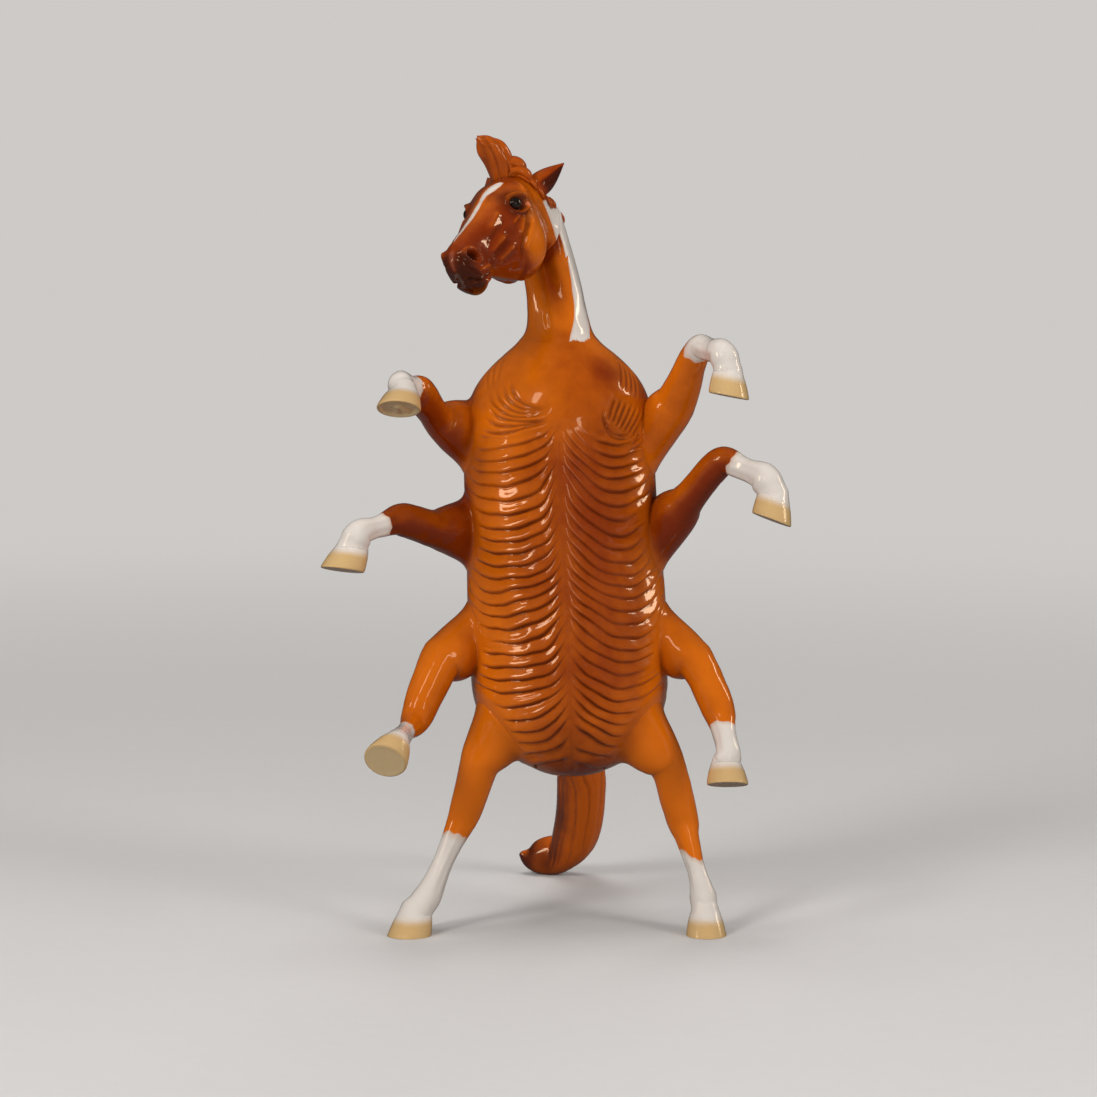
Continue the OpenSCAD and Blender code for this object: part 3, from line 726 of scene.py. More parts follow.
@dataclass
class Barrel:
    """The plump ribbed body that every other casting is set on."""

    foot_x: float = 0.91
    foot_y: float = -6.97
    lift: float = 21.3
    length: float = 62.8
    width: float = 28.4
    depth: float = 25.6
    rounding: float = 14.0
    relief: float = 0.72
    ribs: int = 27
    form: RibForm = RibForm()
    painted_shade: PaintedShade = PaintedShade()
    sweep: float = 4.3
    left_sweep: float = 0.84
    right_sweep_low: float = 1.20
    right_sweep_high: float = 1.62
    reach: float = 96.0
    low_turn: float = 41.0
    flank_rise: float = 0.55
    keel_turn: float = 1.6
    keel_depth: float = 0.07
    keel_shade: float = 0.3
    spine_turn: float = 7.0
    spine_depth: float = 0.22
    fan_cut: float = 1.4
    fan_shade: float = 3.4
    fan_shade_most: float = 0.7
    join_l: float = 9.8
    join_b: float = 7.6
    clear_l: float = 1.12
    clear_b: float = 1.25
    bottom: float = 0.0006
    rib_low: float = 0.035
    rib_high: float = 0.82
    low_rows: int = 22
    rows_a_rib: int = 13
    high_rows: int = 66
    front_sides: int = 210
    back_sides: int = 70
    crowding: float = 0.9

    def girth(self, h: Value) -> tuple[Points, Points, Points, Points]:
        """The barrel's section at heights.

        Args:
            h: Heights above the lower end.

        Returns:
            Half width, belly, back and lean to the right.
        """
        h = np.asarray(h, float)
        s = along(BARREL_SHARES, row_at(BARREL_SHARES, np.clip(h / self.length, 0, 1)))
        low = np.maximum(0, 1 - h / self.rounding)
        r = np.sqrt(np.maximum(0, 1 - low * low))
        half, belly, back = s[..., 1] * self.width * r, s[..., 2] * self.depth * r, s[..., 3] * self.depth * r
        return half, belly, back, s[..., 4] * self.width

    def surface(self, bearing: Value, h: Value, grow: Value = 0.0) -> Points:
        """Points of the plain barrel.

        Args:
            bearing: Degrees round the barrel from the belly, to the right.
            h: Height above the lower end.
            grow: How far outside the surface.

        Returns:
            The points.
        """
        bearing, h, grow = np.broadcast_arrays(*(np.asarray(x, float) for x in (bearing, h, grow)))
        half, belly, back, lean = self.girth(h)
        turn = np.radians(bearing)
        across, ahead = np.sin(turn), np.cos(turn)
        least = np.maximum(grow / 2, 1e-6)
        deep = np.maximum(np.where(ahead > 0, belly, back), least)
        radius = 1 / np.sqrt((across / np.maximum(half, least)) ** 2 + (ahead / deep) ** 2) + grow
        return np.stack(
            [self.foot_x + lean + radius * across, self.foot_y - radius * ahead, self.lift + h], axis=-1
        )

    def bearing_of(self, p: Points) -> Points:
        """Bearing of points round the barrel."""
        lean = self.girth(p[..., 2] - self.lift)[3]
        return np.degrees(np.arctan2(p[..., 0] - self.foot_x - lean, self.foot_y - p[..., 1]))

    def pressed(self, p: Points, grow: Value) -> Points:
        """Points brought to the barrel's surface."""
        return self.surface(self.bearing_of(p), p[..., 2] - self.lift, grow)

    def axis_at(self, p: Points) -> Points:
        """The barrel's middle at the points' heights."""
        lean = self.girth(p[..., 2] - self.lift)[3]
        return np.stack([self.foot_x + lean, np.full(lean.shape, self.foot_y), p[..., 2]], axis=-1)

    def kept_out(self, p: Points, grow: Value) -> Points:
        """Keeps points out of the barrel.

        Args:
            p: The points.
            grow: How far outside it they end.

        Returns:
            The points, moved where they were in it.
        """
        h = p[..., 2] - self.lift
        q, axis = self.pressed(p, grow), self.axis_at(p)
        clear = (h <= 0) | (h >= self.length)
        clear |= np.linalg.norm(p - axis, axis=-1) >= np.linalg.norm(q - axis, axis=-1)
        return np.where(clear[..., None], p, q)

    def join(self, bearing: float, h: float) -> Join:
        """Where a limb is set.

        Args:
            bearing: Degrees round the barrel from the belly.
            h: Height above the lower end.

        Returns:
            The limb's join.
        """
        step = self.join_l / 9
        around = self.surface(bearing + 1, h) - self.surface(bearing - 1, h)
        rise = self.surface(bearing, h + step) - self.surface(bearing, h - step)
        return Join(self.surface(bearing, h), unit(around), unit(rise))

    def drop(self, bearing: Points) -> Points:
        """How high a rib runs at a bearing: 1 at the keel, 0 at its lowest, rising again to the flank."""
        off = np.minimum(np.abs(bearing), self.reach) / self.low_turn - 1
        return off**2 * np.where(off > 0, self.flank_rise, 1.0)

    def rib_height(self, bearing: Points, share: Points) -> Points:
        """How high rows of points that run as the ribs do are.

        Args:
            bearing: Degrees from the belly.
            share: The rows' shares of the length.

        Returns:
            Heights above the lower end.
        """
        right = mix(self.right_sweep_low, self.right_sweep_high, rises(share, 0.25, 0.45))
        sweep = self.sweep * mix(self.left_sweep, right, rises(bearing, -15, 20))
        sweep = sweep * ease(share / 0.1) * falls(share, 1, 0.22) * falls(np.abs(bearing), 168, 64)
        return np.minimum(share * self.length + sweep * self.drop(bearing), self.length)

    def rib_mark(self, bearing: Points, v: Points, place: Points) -> tuple[Points, Points]:
        """The ribs' relief.

        Args:
            bearing: Degrees from the belly, -180 to 180.
            v: Share of the barrel's length along the ribs' own run.
            place: The points, for what is irregular.

        Returns:
            Height from about -1 to 0, and how dark the painted shade in the groove is from 0 to 1.
        """
        form = self.form
        side = np.abs(bearing)
        turn = (v - self.rib_low) / (self.rib_high - self.rib_low) * self.ribs
        turn = turn + form.lag * rises(bearing, -2.5, 5)
        turn = turn + form.sway * wander(place * np.array([0.8, 0.8, 0.7]), form.sway_size, 3)
        turn = turn + form.tremble * wander(place, form.tremble_size, 4)
        number = np.floor(turn)
        t = turn - number
        dice = np.random.default_rng(11).uniform(size=(2, self.ribs + form.spare))
        pick = np.clip(number, 0, self.ribs + form.spare - 3).astype(int)
        rolls = [np.where(bearing > 0, dice[0][k], dice[1][k]) for k in (pick, pick + 1)]
        kind = mix(*rolls, rises(t, 0.35, 0.3))
        bed = mix(form.foot, form.crown, ease(t / form.climb))
        bed = bed - form.fall * ease((t - form.climb) / (1 - form.climb)) ** form.hollow
        # Painted shade: the groove darkened along the knife's cut and over the rib's underside.
        cut = bell(np.minimum(t, 1 - t), form.cut_width)
        groove = np.maximum(cut, form.groove_shade * bell(np.where(t < form.groove_shade_end, t, 1.0), form.groove_shade_width))
        start = form.start * kind * (0.3 + 0.7 * rises(v, 0.45, 0.3))
        strength = rises(side - start, -1.5, 12) * falls(side, form.end + form.stray * (1 - kind), 14)
        strength = strength * np.clip(0.78 + 0.34 * wander(place, 12.0, 5), 0.25, 1.1)
        strength = strength * np.where(kind > form.short, falls(side, form.short_end, 20), 1.0)
        scratch = bell(np.abs(t - form.scratch_at), form.scratch_width)
        scratch = scratch * rises(wander(place, 9.0, 6), 0.15, 0.35)
        height = (bed - form.crown) * strength - form.cut * cut * strength - form.scratch * scratch * strength
        return height, np.clip((groove + form.scratch_shade * scratch) * strength, 0, 1)

    def clearing(self, p: Points, joins: Sequence[Join]) -> Points:
        """Where the ribs are, round the limbs.

        Args:
            p: Points.
            joins: The limbs' joins.

        Returns:
            0 at the joins, where the ribs die away, and 1 elsewhere.
        """
        clear = np.ones(p.shape[:-1])
        for j in joins:
            v = p - j.middle
            across, up = v @ j.round / (self.join_b * self.clear_b), v @ j.rise / (self.join_l * self.clear_l)
            clear *= rises(2 * np.hypot(across, up), 1.05, 0.35)
        return clear

    def grid(self) -> tuple[Points, Points]:
        """Where the skin's points are, close together where the ribs are.

        Returns:
            Their bearings and shares of the length.
        """
        low = np.linspace(self.bottom, self.rib_low, self.low_rows)[:-1]
        ribs = np.linspace(self.rib_low, self.rib_high, self.ribs * self.rows_a_rib)
        high = np.linspace(self.rib_high, 1, self.high_rows)[1:]
        even = np.linspace(-0.5, 0.5, self.front_sides, endpoint=False)
        front = self.reach * np.sin(even * np.pi * self.crowding)
        front = front / np.abs(front[0]) * self.reach
        back = np.linspace(self.reach, 360 - self.reach, self.back_sides, endpoint=False)
        around = (np.concatenate([front, back]) + 180) % 360 - 180
        bearing, share = np.meshgrid(around, np.concatenate([low, ribs, high]))
        return bearing, share

    def skin(self, roots: Sequence[tuple[Join, float]]) -> Skin:
        """The barrel's whole skin.

        Args:
            roots: Where the limbs are set, and how deep the painted shade is about each.

        Returns:
            The skin with its paint fields.
        """
        bearing, share = self.grid()
        h = self.rib_height(bearing, share)
        plain = self.surface(bearing, h)
        edge = np.interp(bearing, *zip(*RIB_EDGE))
        smooth = rises(bearing, 2, 8) * rises(share, 0.68, 0.08) * falls(bearing, 34, 14)
        band = rises(share, 0.006, 0.022) * falls(h, edge, 1.6) * (1 - 0.8 * smooth)
        clear = self.clearing(plain, [j for j, _ in roots])
        height, groove = self.rib_mark(bearing, share, plain)
        height = height * band * clear * self.relief
        groove = groove * band * clear
        # Painted shade along the keel's dip and in the fans' cuts.
        keel = bell(bearing, self.keel_turn) * band
        height = height - self.keel_depth * keel
        groove = np.maximum(groove, self.keel_shade * keel)
        for fan in CHEST_FANS:
            for line in fan.lines():
                mark = stroke(plain, self.surface(line[:, 0], line[:, 1]), fan.width)
                height = height - self.fan_cut * fan.depth * mark
                groove = np.maximum(groove, mark * min(self.fan_shade_most, fan.depth * self.fan_shade))
        height = height + 0.05 * wander(plain, 7.0, 8) * rises(share, 0.75, 0.1)
        spine = bell(180 - np.abs(bearing), self.spine_turn) * ease(share / 0.2) * falls(share, 0.95, 0.2)
        skin = Skin(plain, {"groove": np.clip(groove, 0, 1), "shade": self.shading(plain, roots)})
        skin.swell(height - self.spine_depth * spine)
        return skin

    def shading(self, p: Points, roots: Sequence[tuple[Join, float]]) -> Points:
        """Where the brown is painted deeper, as painted shade, or lighter, as painted light on the flanks.

        Args:
            p: Points on or near the barrel.
            roots: Joins of the limbs, and how deep the painted shade is about each.

        Returns:
            The depth of the brown, with its painted shade and light, from 0 to 1.
        """
        painted_shade = self.painted_shade
        bearing = self.bearing_of(p)
        v = (p[..., 2] - self.lift) / self.length
        front = falls(np.abs(bearing), 140, 50)
        # Darker down the belly's middle and below the chest.
        deep = painted_shade.ground + painted_shade.middle * bell(bearing - 15, 36) * mix(0.55, 1.0, rises(v, 0.12, 0.3))
        deep = deep + painted_shade.belly * falls(v, 0.84, 0.12) * front
        # Painted shade round each limb's root and in the hollow above it.
        for j, dark in roots:
            gap = np.linalg.norm(p - j.middle, axis=-1)
            deep = deep + painted_shade.root * dark * bell(gap, painted_shade.root_size)
            gap = np.linalg.norm(p - j.middle - j.rise * painted_shade.armpit_up, axis=-1)
            deep = deep + painted_shade.armpit * dark * bell(gap, painted_shade.armpit_size)
        # Painted shade in the hollow on the right of the chest.
        spot = self.surface(painted_shade.spot_bearing, painted_shade.spot_height)
        deep = deep + painted_shade.spot * bell(np.linalg.norm(p - spot, axis=-1), painted_shade.spot_size)
        # Painted shade along the bottom.
        deep = deep + painted_shade.bottom * falls(v, painted_shade.bottom_share, painted_shade.bottom_share)
        # Painted light: the left and right flanks painted lighter.
        deep = deep + painted_shade.left * rises(-bearing, 20, 30) * falls(v, 0.97, 0.2) * front
        deep = deep + painted_shade.right * rises(bearing, 42, 25) * falls(v, 0.80, 0.1) * front
        return np.clip(deep, 0, 1)


# Where the ribs end on the chest: bearing and height
RIB_EDGE = (
    (-96, 51.5), (-60, 50.6), (-35, 50.4), (-21, 51.2), (-4, 52.2), (4, 52.2), (20, 51.6), (33, 51.2),
    (41, 50.0), (53, 49.4), (62, 48.6), (75, 49.8), (96, 51.5),
)
CHEST_FANS = (
    Fan(
        ((-47, 58.2), (-38, 56.0), (-29.5, 54.8), (-20, 54.2), (-4, 54.1)),
        ((-63, 55.8), (-50.5, 54.1), (-36, 52.9), (-20, 53.0), (-4, 53.8)),
        count=4, width=0.22, depth=0.22,
    ),
    Fan(
        ((-58, 54.4), (-47, 52.7), (-36, 52.3), (-20, 52.2), (-4, 52.5)),
        ((-62, 50.6), (-48.5, 50.3), (-35.5, 50.6), (-21, 51.6), (-6, 52.1)),
        count=3, width=0.24, depth=0.24,
    ),
    Fan(
        ((33, 54.4), (34, 52.2), (38, 50.6), (46, 50.0), (54, 50.1)),
        ((32, 54.2), (33, 51.8), (37.6, 50.1), (46, 49.5), (55, 49.6)),
        count=2, width=0.2, depth=0.22,
    ),
    Fan(
        ((35.5, 51.9), (40, 53.8), (45, 55.5)), ((56, 49.0), (66, 50.8), (78, 53.0)),
        count=8, width=0.20, depth=0.24,
    ),
    Fan(
        ((51, 48.3), (66, 49.8), (86, 51.6)), ((48, 47.6), (66, 48.6), (88, 50.4)),
        count=2, width=0.22, depth=0.18,
    ),
    Fan(
        ((80, 60.3), (63.5, 58.5), (51.5, 56.4)), ((88, 59.4), (76.5, 57.4), (63, 54.9)),
        count=4, width=0.26, depth=0.12,
    ),
    Fan(
        ((-88, 58.6), (-74, 57.6), (-61.5, 55.9)), ((-80, 60.4), (-66, 59.2), (-55, 56.8)),
        count=3, width=0.28, depth=0.09,
    ),
)


# Legs


@dataclass(frozen=True)
class Pose:
    """How one leg is set, bent, built and painted.

    Attributes:
        bends: Elbow, hock, fetlock and sole from the root, aside, ahead and up as shares of the length.
        girths: Shares of the usual widths, from root to hoof.
        hinge: Degrees that the joints' axis is turned from straight across.
        sock: Row at which the white starts, give or take the slant.
        dark: How deep the painted shade on the leg is; below 0 the leg is painted lighter, as painted light.
        frog: How plainly the sole shows its frog.
        evened: Smoothing passes.
        tuck: Millimetres that the foot is moved right and back.
    """

    name: str
    bearing: float
    height: float
    bends: tuple[tuple[float, float, float], ...]
    girths: tuple[float, ...]
    hinge: float
    sole: tuple[float, float, float]
    toe: tuple[float, float, float]
    sock: float
    dark: float
    slant: float = 0.0
    standing: bool = False
    frog: float = 0.0
    evened: int = 70
    tuck: tuple[float, float] = (0.0, 0.0)


POSES = (
    Pose(
        "left_fore", -86, 49.612,
        ((-0.176, 0.19, 0.122), (-0.256, 0.375, 0.275), (-0.367, 0.60, 0.351), (-0.369, 0.812, 0.216)),
        (1.45, 0.88, 1.04, 1.30, 1.15, 1.03, 1.05, 1.02),
        hinge=-25, sole=(-0.05, -0.47, -0.88), toe=(-0.3, -0.95, 0.2),
        sock=4.1, dark=0.75, frog=1.0, tuck=(0.0, 0.66),
    ),
    Pose(
        "right_fore", 84, 49.612,
        ((0.158, 0.167, 0.251), (0.254, 0.354, 0.542), (0.392, 0.646, 0.535), (0.421, 0.75, 0.293)),
        (1.43, 1.10, 0.81, 1.17, 1.17, 1.10, 1.08, 0.94),
        hinge=26, sole=(-0.19, -0.12, -0.97), toe=(0.4, -0.9, 0.0), sock=3.2, dark=0.22, slant=0.3,
    ),
    Pose(
        "left_second", -84, 35.608,
        ((-0.209, 0.208, 0.044), (-0.371, 0.354, 0.117), (-0.618, 0.562, 0.06), (-0.708, 0.646, -0.148)),
        (1.39, 1.04, 1.00, 1.20, 1.04, 1.10, 1.22, 1.02),
        hinge=-45, sole=(-0.12, -0.22, -0.97), toe=(-0.6, -0.8, 0.0), sock=4.15, dark=1.1, tuck=(0.08, 0.0),
    ),
    Pose(
        "right_second", 82, 35.608,
        ((0.178, 0.208, 0.232), (0.354, 0.354, 0.469), (0.617, 0.562, 0.387), (0.649, 0.667, 0.152)),
        (1.47, 0.92, 0.94, 1.17, 1.12, 1.18, 1.18, 0.96),
        hinge=45, sole=(-0.35, -0.15, -0.92), toe=(0.5, -0.85, 0.0), sock=3.85, dark=0.95, tuck=(-0.36, 0.0),
    ),
    Pose(
        "left_third", -84, 19.719,
        ((-0.206, 0.167, -0.133), (-0.313, 0.292, -0.425), (-0.391, 0.584, -0.477), (-0.478, 0.833, -0.577)),
        (1.63, 1.18, 1.10, 1.24, 0.92, 0.74, 0.85, 1.02),
        hinge=-30, sole=(-0.25, -0.80, -0.55), toe=(-0.55, 0.35, -0.6),
        sock=5.0, dark=0.34, evened=260, tuck=(0.0, 0.30),
    ),
    Pose(
        "right_third", 84, 19.719,
        ((0.202, 0.167, -0.134), (0.312, 0.271, -0.383), (0.36, 0.479, -0.608), (0.348, 0.562, -0.766)),
        (1.49, 1.04, 1.10, 1.26, 1.18, 1.08, 1.08, 0.97),
        hinge=25, sole=(0.0, -0.3, -0.95), toe=(0.1, -0.95, 0.3), sock=4.0, dark=0.3, slant=0.2, evened=200,
    ),
    Pose(
        "left_hind", -70, 6.594,
        ((-0.098, 0.01, -0.188), (-0.169, -0.03, -0.401), (-0.379, 0.125, -0.791), (-0.498, 0.235, -1.0)),
        (1.40, 1.10, 1.02, 1.22, 1.04, 1.04, 1.26, 1.04),
        hinge=-32, sole=(0.0, 0.0, -1.0), toe=(-0.55, -0.83, 0.0),
        sock=4.0, dark=-0.20, slant=-0.2, standing=True,
    ),
    Pose(
        "right_hind", 66, 6.594,
        ((0.142, -0.01, -0.186), (0.209, -0.05, -0.41), (0.335, 0.105, -0.789), (0.356, 0.21, -1.0)),
        (1.43, 1.01, 1.09, 1.28, 1.04, 1.01, 1.10, 0.95),
        hinge=10, sole=(0.0, 0.0, -1.0), toe=(0.1, -1.0, 0.0),
        sock=4.5, dark=-0.20, slant=0.35, standing=True,
    ),
)


@dataclass(frozen=True)
class RowMark:
    """A swelling or a dip across a leg, at a row of its stations."""

    row: float
    width: float
    height: float

    def at(self, rows: Points) -> Points:
        """Its height at rows of the leg."""
        return self.height * bell(rows - self.row, self.width)


# Rows of a leg: root 0, elbow 2, hock or knee 3, fetlock 6, and these two
CROWN = 7
SOLE = 8
KNEECAP = RowMark(3.0, 0.35, 0.14)
ERGOT = RowMark(6.05, 0.3, 0.16)
PASTERN = RowMark(6.62, 0.2, -0.10)
CORONET = RowMark(7.06, 0.04, 0.05)
# The hoof's wall: how far down it, and how far from the crown's width to the foot's
HOOF_WALL = (
    (0, 0.06), (0.08, 0.18), (0.2, 0.38), (0.4, 0.62), (0.7, 0.87), (0.9, 1.0), (0.97, 0.99), (1.0, 0.90),
)


@dataclass
class Leg:
    """One leg with its sock and hoof, flared into the barrel at its root."""

    barrel: Barrel
    pose: Pose
    length: float = 24.0
    upper: float = 4.9
    knee: float = 4.7
    shank: float = 2.9
    fetlock: float = 3.8
    hoof_w: float = 6.0
    hoof_h: float = 3.3
    crown_share: float = 0.62
    heel_back: float = 0.45
    sole_cut: float = 0.3
    hollow: float = 0.03
    frog_hollow: float = 0.30
    frog_rise: float = 0.24
    flare_round: float = 0.45
    flare_rise: float = 0.30
    root_end: float = 1.7
    seat_end: float = 1.6
    sinew_side: float = 0.93
    sinew_depth: float = 0.13
    look: float = 0.35
    sides: int = 56
    steps: int = 150
    root_steps: int = 46
    wall_steps: int = 26
    rim_steps: int = 9
    sole_steps: int = 18

    def join(self) -> Join:
        """The leg's join."""
        return self.barrel.join(self.pose.bearing, self.pose.height)

    def ways(self) -> tuple[Points, Points, Points]:
        """The hoof's own ways.

        Returns:
            The sole's way down, the toe's way ahead and the way aside.
        """
        down = unit(np.array(self.pose.sole, float))
        toe = np.array(self.pose.toe, float)
        ahead = unit(toe - down * (toe @ down))
        return down, ahead, np.cross(ahead, down)

    def stations(self) -> tuple[Points, Points]:
        """Where the leg's stations are.

        Returns:
            Their middles with their widths, and the middle of the sole.
        """
        root = self.join().middle
        drop = self.barrel.lift + self.pose.height + self.sole_cut if self.pose.standing else self.length
        scale = np.array([self.length, -self.length, drop])
        elbow, hock, fetlock, ground = (root + np.array(bend) * scale for bend in self.pose.bends)
        down, ahead, _ = self.ways()
        crown = ground - down * self.hoof_h - ahead * self.hoof_h * self.heel_back
        plain = [self.upper, self.upper, self.knee, self.shank, self.shank, self.fetlock]
        widths = [w * share for w, share in zip(plain, self.pose.girths)]
        widths = [self.barrel.join_b, *widths, self.hoof_w * self.crown_share * self.pose.girths[6]]
        shank = [mix(hock, fetlock, 0.34), mix(hock, fetlock, 0.68)]
        middles = np.array([root, mix(root, elbow, 0.55), elbow, hock, *shank, fetlock, crown])
        return np.column_stack([middles, widths]), ground

    def shaft(self) -> tuple[Points, Points]:
        """The leg from its root to its hoof's crown.

        Returns:
            Its rings, and the row of each ring.
        """
        rows, _ = self.stations()
        root = np.linspace(0, self.root_end, self.root_steps)[:-1]
        u = np.concatenate([root, np.linspace(self.root_end, CROWN, self.steps - len(root))])
        p = along(rows, u)
        q = along(rows, np.minimum(u + self.look, CROWN)) - along(rows, np.maximum(u - self.look, 0))
        way = unit(q[:, :3])
        face = math.radians(self.pose.hinge)
        hinge = np.array([math.cos(face), math.sin(face), 0.0])
        across = unit(hinge - way * (way @ hinge)[:, None])
        half = p[:, 3:4] / 2
        broad = (1 - 0.06 * rises(u, 2.4, 0.5) * falls(u, 6.7, 0.5))[:, None]
        turn = turns(self.sides)
        rings = rings_about(
            p[:, :3], across, np.cross(way, across), half * broad * np.cos(turn), half * np.sin(turn)
        )
        rings = self.rooted(rings, u)
        loose = (rises(u, 1.6, 0.6) * falls(u, CROWN, 0.6))[:, None, None]
        for _ in range(self.pose.evened):
            even = rings.copy()
            even[1:-1] = (rings[:-2] + 2 * rings[1:-1] + rings[2:]) / 4
            rings = mix(rings, even, loose)
        guard = self.barrel.kept_out(rings, 0.04)
        return np.where(u[:, None, None] > 0.5, guard, rings), u

    def rooted(self, rings: Points, u: Points) -> Points:
        """Rings whose first ones spread over the barrel at the leg's root.

        Args:
            rings: The leg's rings.
            u: The row of each.

        Returns:
            The rings with their root.
        """
        j = self.join()
        w = spokes(rings[0], j.middle, j.round, j.rise)[None]
        flare = (np.maximum(0, 1 - u / 1.1) ** 2)[:, None, None]
        reach = (
            j.round * (w[..., 0:1] * self.barrel.join_b / 2) * (1 + self.flare_round * flare)
            + j.rise * (w[..., 1:2] * self.barrel.join_l / 2) * (1 + self.flare_rise * flare)
        )
        seat = self.barrel.pressed(j.middle + reach, seated(u, 0.30))
        row = u[:, None, None]
        return np.where(row < self.seat_end, mix(seat, rings, ease(row / self.seat_end)), rings)

    def hoof(self, crown_ring: Points) -> tuple[Points, Points]:
        """The hoof's wall and sole.

        Args:
            crown_ring: The leg's last ring.

        Returns:
            Rings down the wall and in over the sole, and how far down each is, past 1 on the sole.
        """
        pose = self.pose
        rows, ground = self.stations()
        down, ahead, aside = self.ways()
        w = spokes(crown_ring, rows[-1, :3], aside, ahead)
        wall = np.array(HOOF_WALL)
        rim = np.linspace(0.9, 1, self.rim_steps)[1:]
        depth = np.concatenate([np.linspace(0, 0.9, self.wall_steps), rim])
        inner = np.linspace(1, 0.06, self.sole_steps)[1:]
        top = self.crown_share * pose.girths[6] / pose.girths[7]
        width = mix(top, 1.0, along(wall, row_at(wall, depth))[:, 1])
        width = np.concatenate([width, width[-1] * inner])
        slide = np.concatenate([self.heel_back * (1 - depth), np.zeros(len(inner))])
        hollow = 0.0 if pose.standing else self.hollow + self.frog_hollow * pose.frog
        rise = np.concatenate([1 - depth, hollow / self.hoof_h * falls(inner, 0.93, 0.16)])
        far = np.concatenate([depth, 1 + (1 - inner)])
        middle = ground - down * (self.hoof_h * rise[:, None]) - ahead * (self.hoof_h * slide[:, None])
        oval = aside * w[:, 0:1] + ahead * (w[:, 1:2] * np.where(w[:, 1:2] > 0, 1.08, 0.92))
        rings = middle[:, None] + oval[None] * (width[:, None, None] * self.hoof_w * pose.girths[7] / 2)
        if not pose.standing:
            spread, fore = width[:, None] * w[None, :, 0], width[:, None] * w[None, :, 1]
            frog = bell(np.abs(spread) - 0.30 * (0.25 - fore), 0.13) * falls(fore, 0.3, 0.2)
            frog = frog * (far > 1.02)[:, None] * falls(width, 0.85, 0.2)[:, None]
            rings = rings + down * (self.frog_rise * pose.frog * frog)[..., None]
        return rings, far

    def skin(self) -> Skin:
        """The leg from its root to its sole.

        Returns:
            Its skin with its paint fields.
        """
        shaft, u = self.shaft()
        hoof, far = self.hoof(shaft[-1])
        skin = Skin(np.concatenate([shaft, hoof[1:]]))
        rows = np.concatenate([u, CROWN + far[1:]])
        pos, around = np.meshgrid(rows, turns(self.sides), indexing="ij")
        cannon = rises(pos, 3.5, 0.4) * falls(pos, 6.2, 0.5)
        sinew = np.abs(np.cos(around)) - self.sinew_side
        height = 0.07 * wander(skin.rings, 5.0, 21) * rises(pos, 0.8, 0.6) * falls(pos, 7.2, 0.5)
        height = height - self.sinew_depth * cannon * bell(sinew, 0.12)
        height = height + KNEECAP.at(pos) * np.sin(around) ** 2 + ERGOT.at(pos) * ease(-np.sin(around))
        height = height + PASTERN.at(pos) + CORONET.at(pos)
        ripple = rises(pos, 7.15, 0.1) * falls(pos, 7.93, 0.1)
        skin.swell(height + 0.012 * np.sin(pos * 60) * ripple)
        skin.rings[..., :2] += rises(pos, 3.0, 4.0)[..., None] * np.array(self.pose.tuck)
        if self.pose.standing:
            skin.rings[..., 2] = np.maximum(skin.rings[..., 2], 0.0)
        skin.fields = self.painted(skin, pos, around)
        # Painted shade in the sinew's crease, all down the darkest legs, and on the sole.
        crease = cannon * bell(sinew, 0.1) * 0.25
        crease = crease + 0.62 * rises(self.pose.dark, 0.85, 0.2) * rises(pos, 0.3, 1.5)
        skin.fields["groove"] = np.clip(crease + rises(pos, SOLE, 0.1) * 0.2, 0, 1)
        return skin

    def painted(self, skin: Skin, pos: Points, around: Points) -> dict[str, Points]:
        """The brown with its painted shade, the sock and the horn.

        Args:
            skin: The leg's skin.
            pos: The row of each of its points.
            around: The angle of each.

        Returns:
            Their paint fields.
        """
        pose = self.pose
        tilt = pose.slant * np.cos(around - 0.6)
        ragged = 0.05 * np.sin(3 * around + pose.bearing) + 0.03 * np.sin(7 * around)
        sock = 0.5 + (pos - pose.sock - tilt - ragged) * 1.6
        # Painted shade: darker near the root, on faces turned down and over the whole leg by its dark,
        # blended into the barrel's shade at the root.
        root = falls(pos, 2.2, 2.2)
        under = rises(-skin.normals()[..., 2], -0.3, 1.2)
        shade = 0.12 + pose.dark * (0.5 * root + 0.75 * under + 0.45) + 0.06 * rises(pos, 2.4, 1.0)
        body = self.barrel.shading(skin.rings, [(self.join(), pose.dark)])
        return {
            "shade": np.clip(mix(body, shade, rises(pos, 0.15, 1.5)), 0, 1),
            "white": np.clip(sock, 0, 1),
            "horn": rises(pos, 6.85, 0.80) * 0.9 + 0.9 * rises(pos, 7.98, 0.05),
        }


# Head and neck


# Distance and rise of the brow's line, the same of the jaw's line, and half width, as shares of the head
HEAD_SHARES = np.array(
    [
        [0.947, -0.135, 0.918, -0.225, 0.034],
        [0.935, -0.085, 0.900, -0.285, 0.070],
        [0.900, -0.050, 0.862, -0.335, 0.092],
        [0.850, -0.022, 0.818, -0.362, 0.104],
        [0.775, -0.008, 0.765, -0.352, 0.105],
        [0.690, 0.000, 0.705, -0.330, 0.102],
        [0.600, 0.008, 0.640, -0.342, 0.114],
        [0.500, 0.022, 0.560, -0.390, 0.136],
        [0.410, 0.040, 0.480, -0.445, 0.162],
        [0.320, 0.056, 0.400, -0.490, 0.180],
        [0.230, 0.064, 0.310, -0.510, 0.178],
        [0.145, 0.060, 0.210, -0.505, 0.160],
        [0.062, 0.042, 0.130, -0.488, 0.138],
        [-0.018, 0.000, 0.090, -0.480, 0.128],
        [-0.085, -0.066, 0.075, -0.480, 0.128],
        [-0.145, -0.155, 0.068, -0.480, 0.130],
        [-0.192, -0.272, 0.065, -0.485, 0.134],
    ]
)

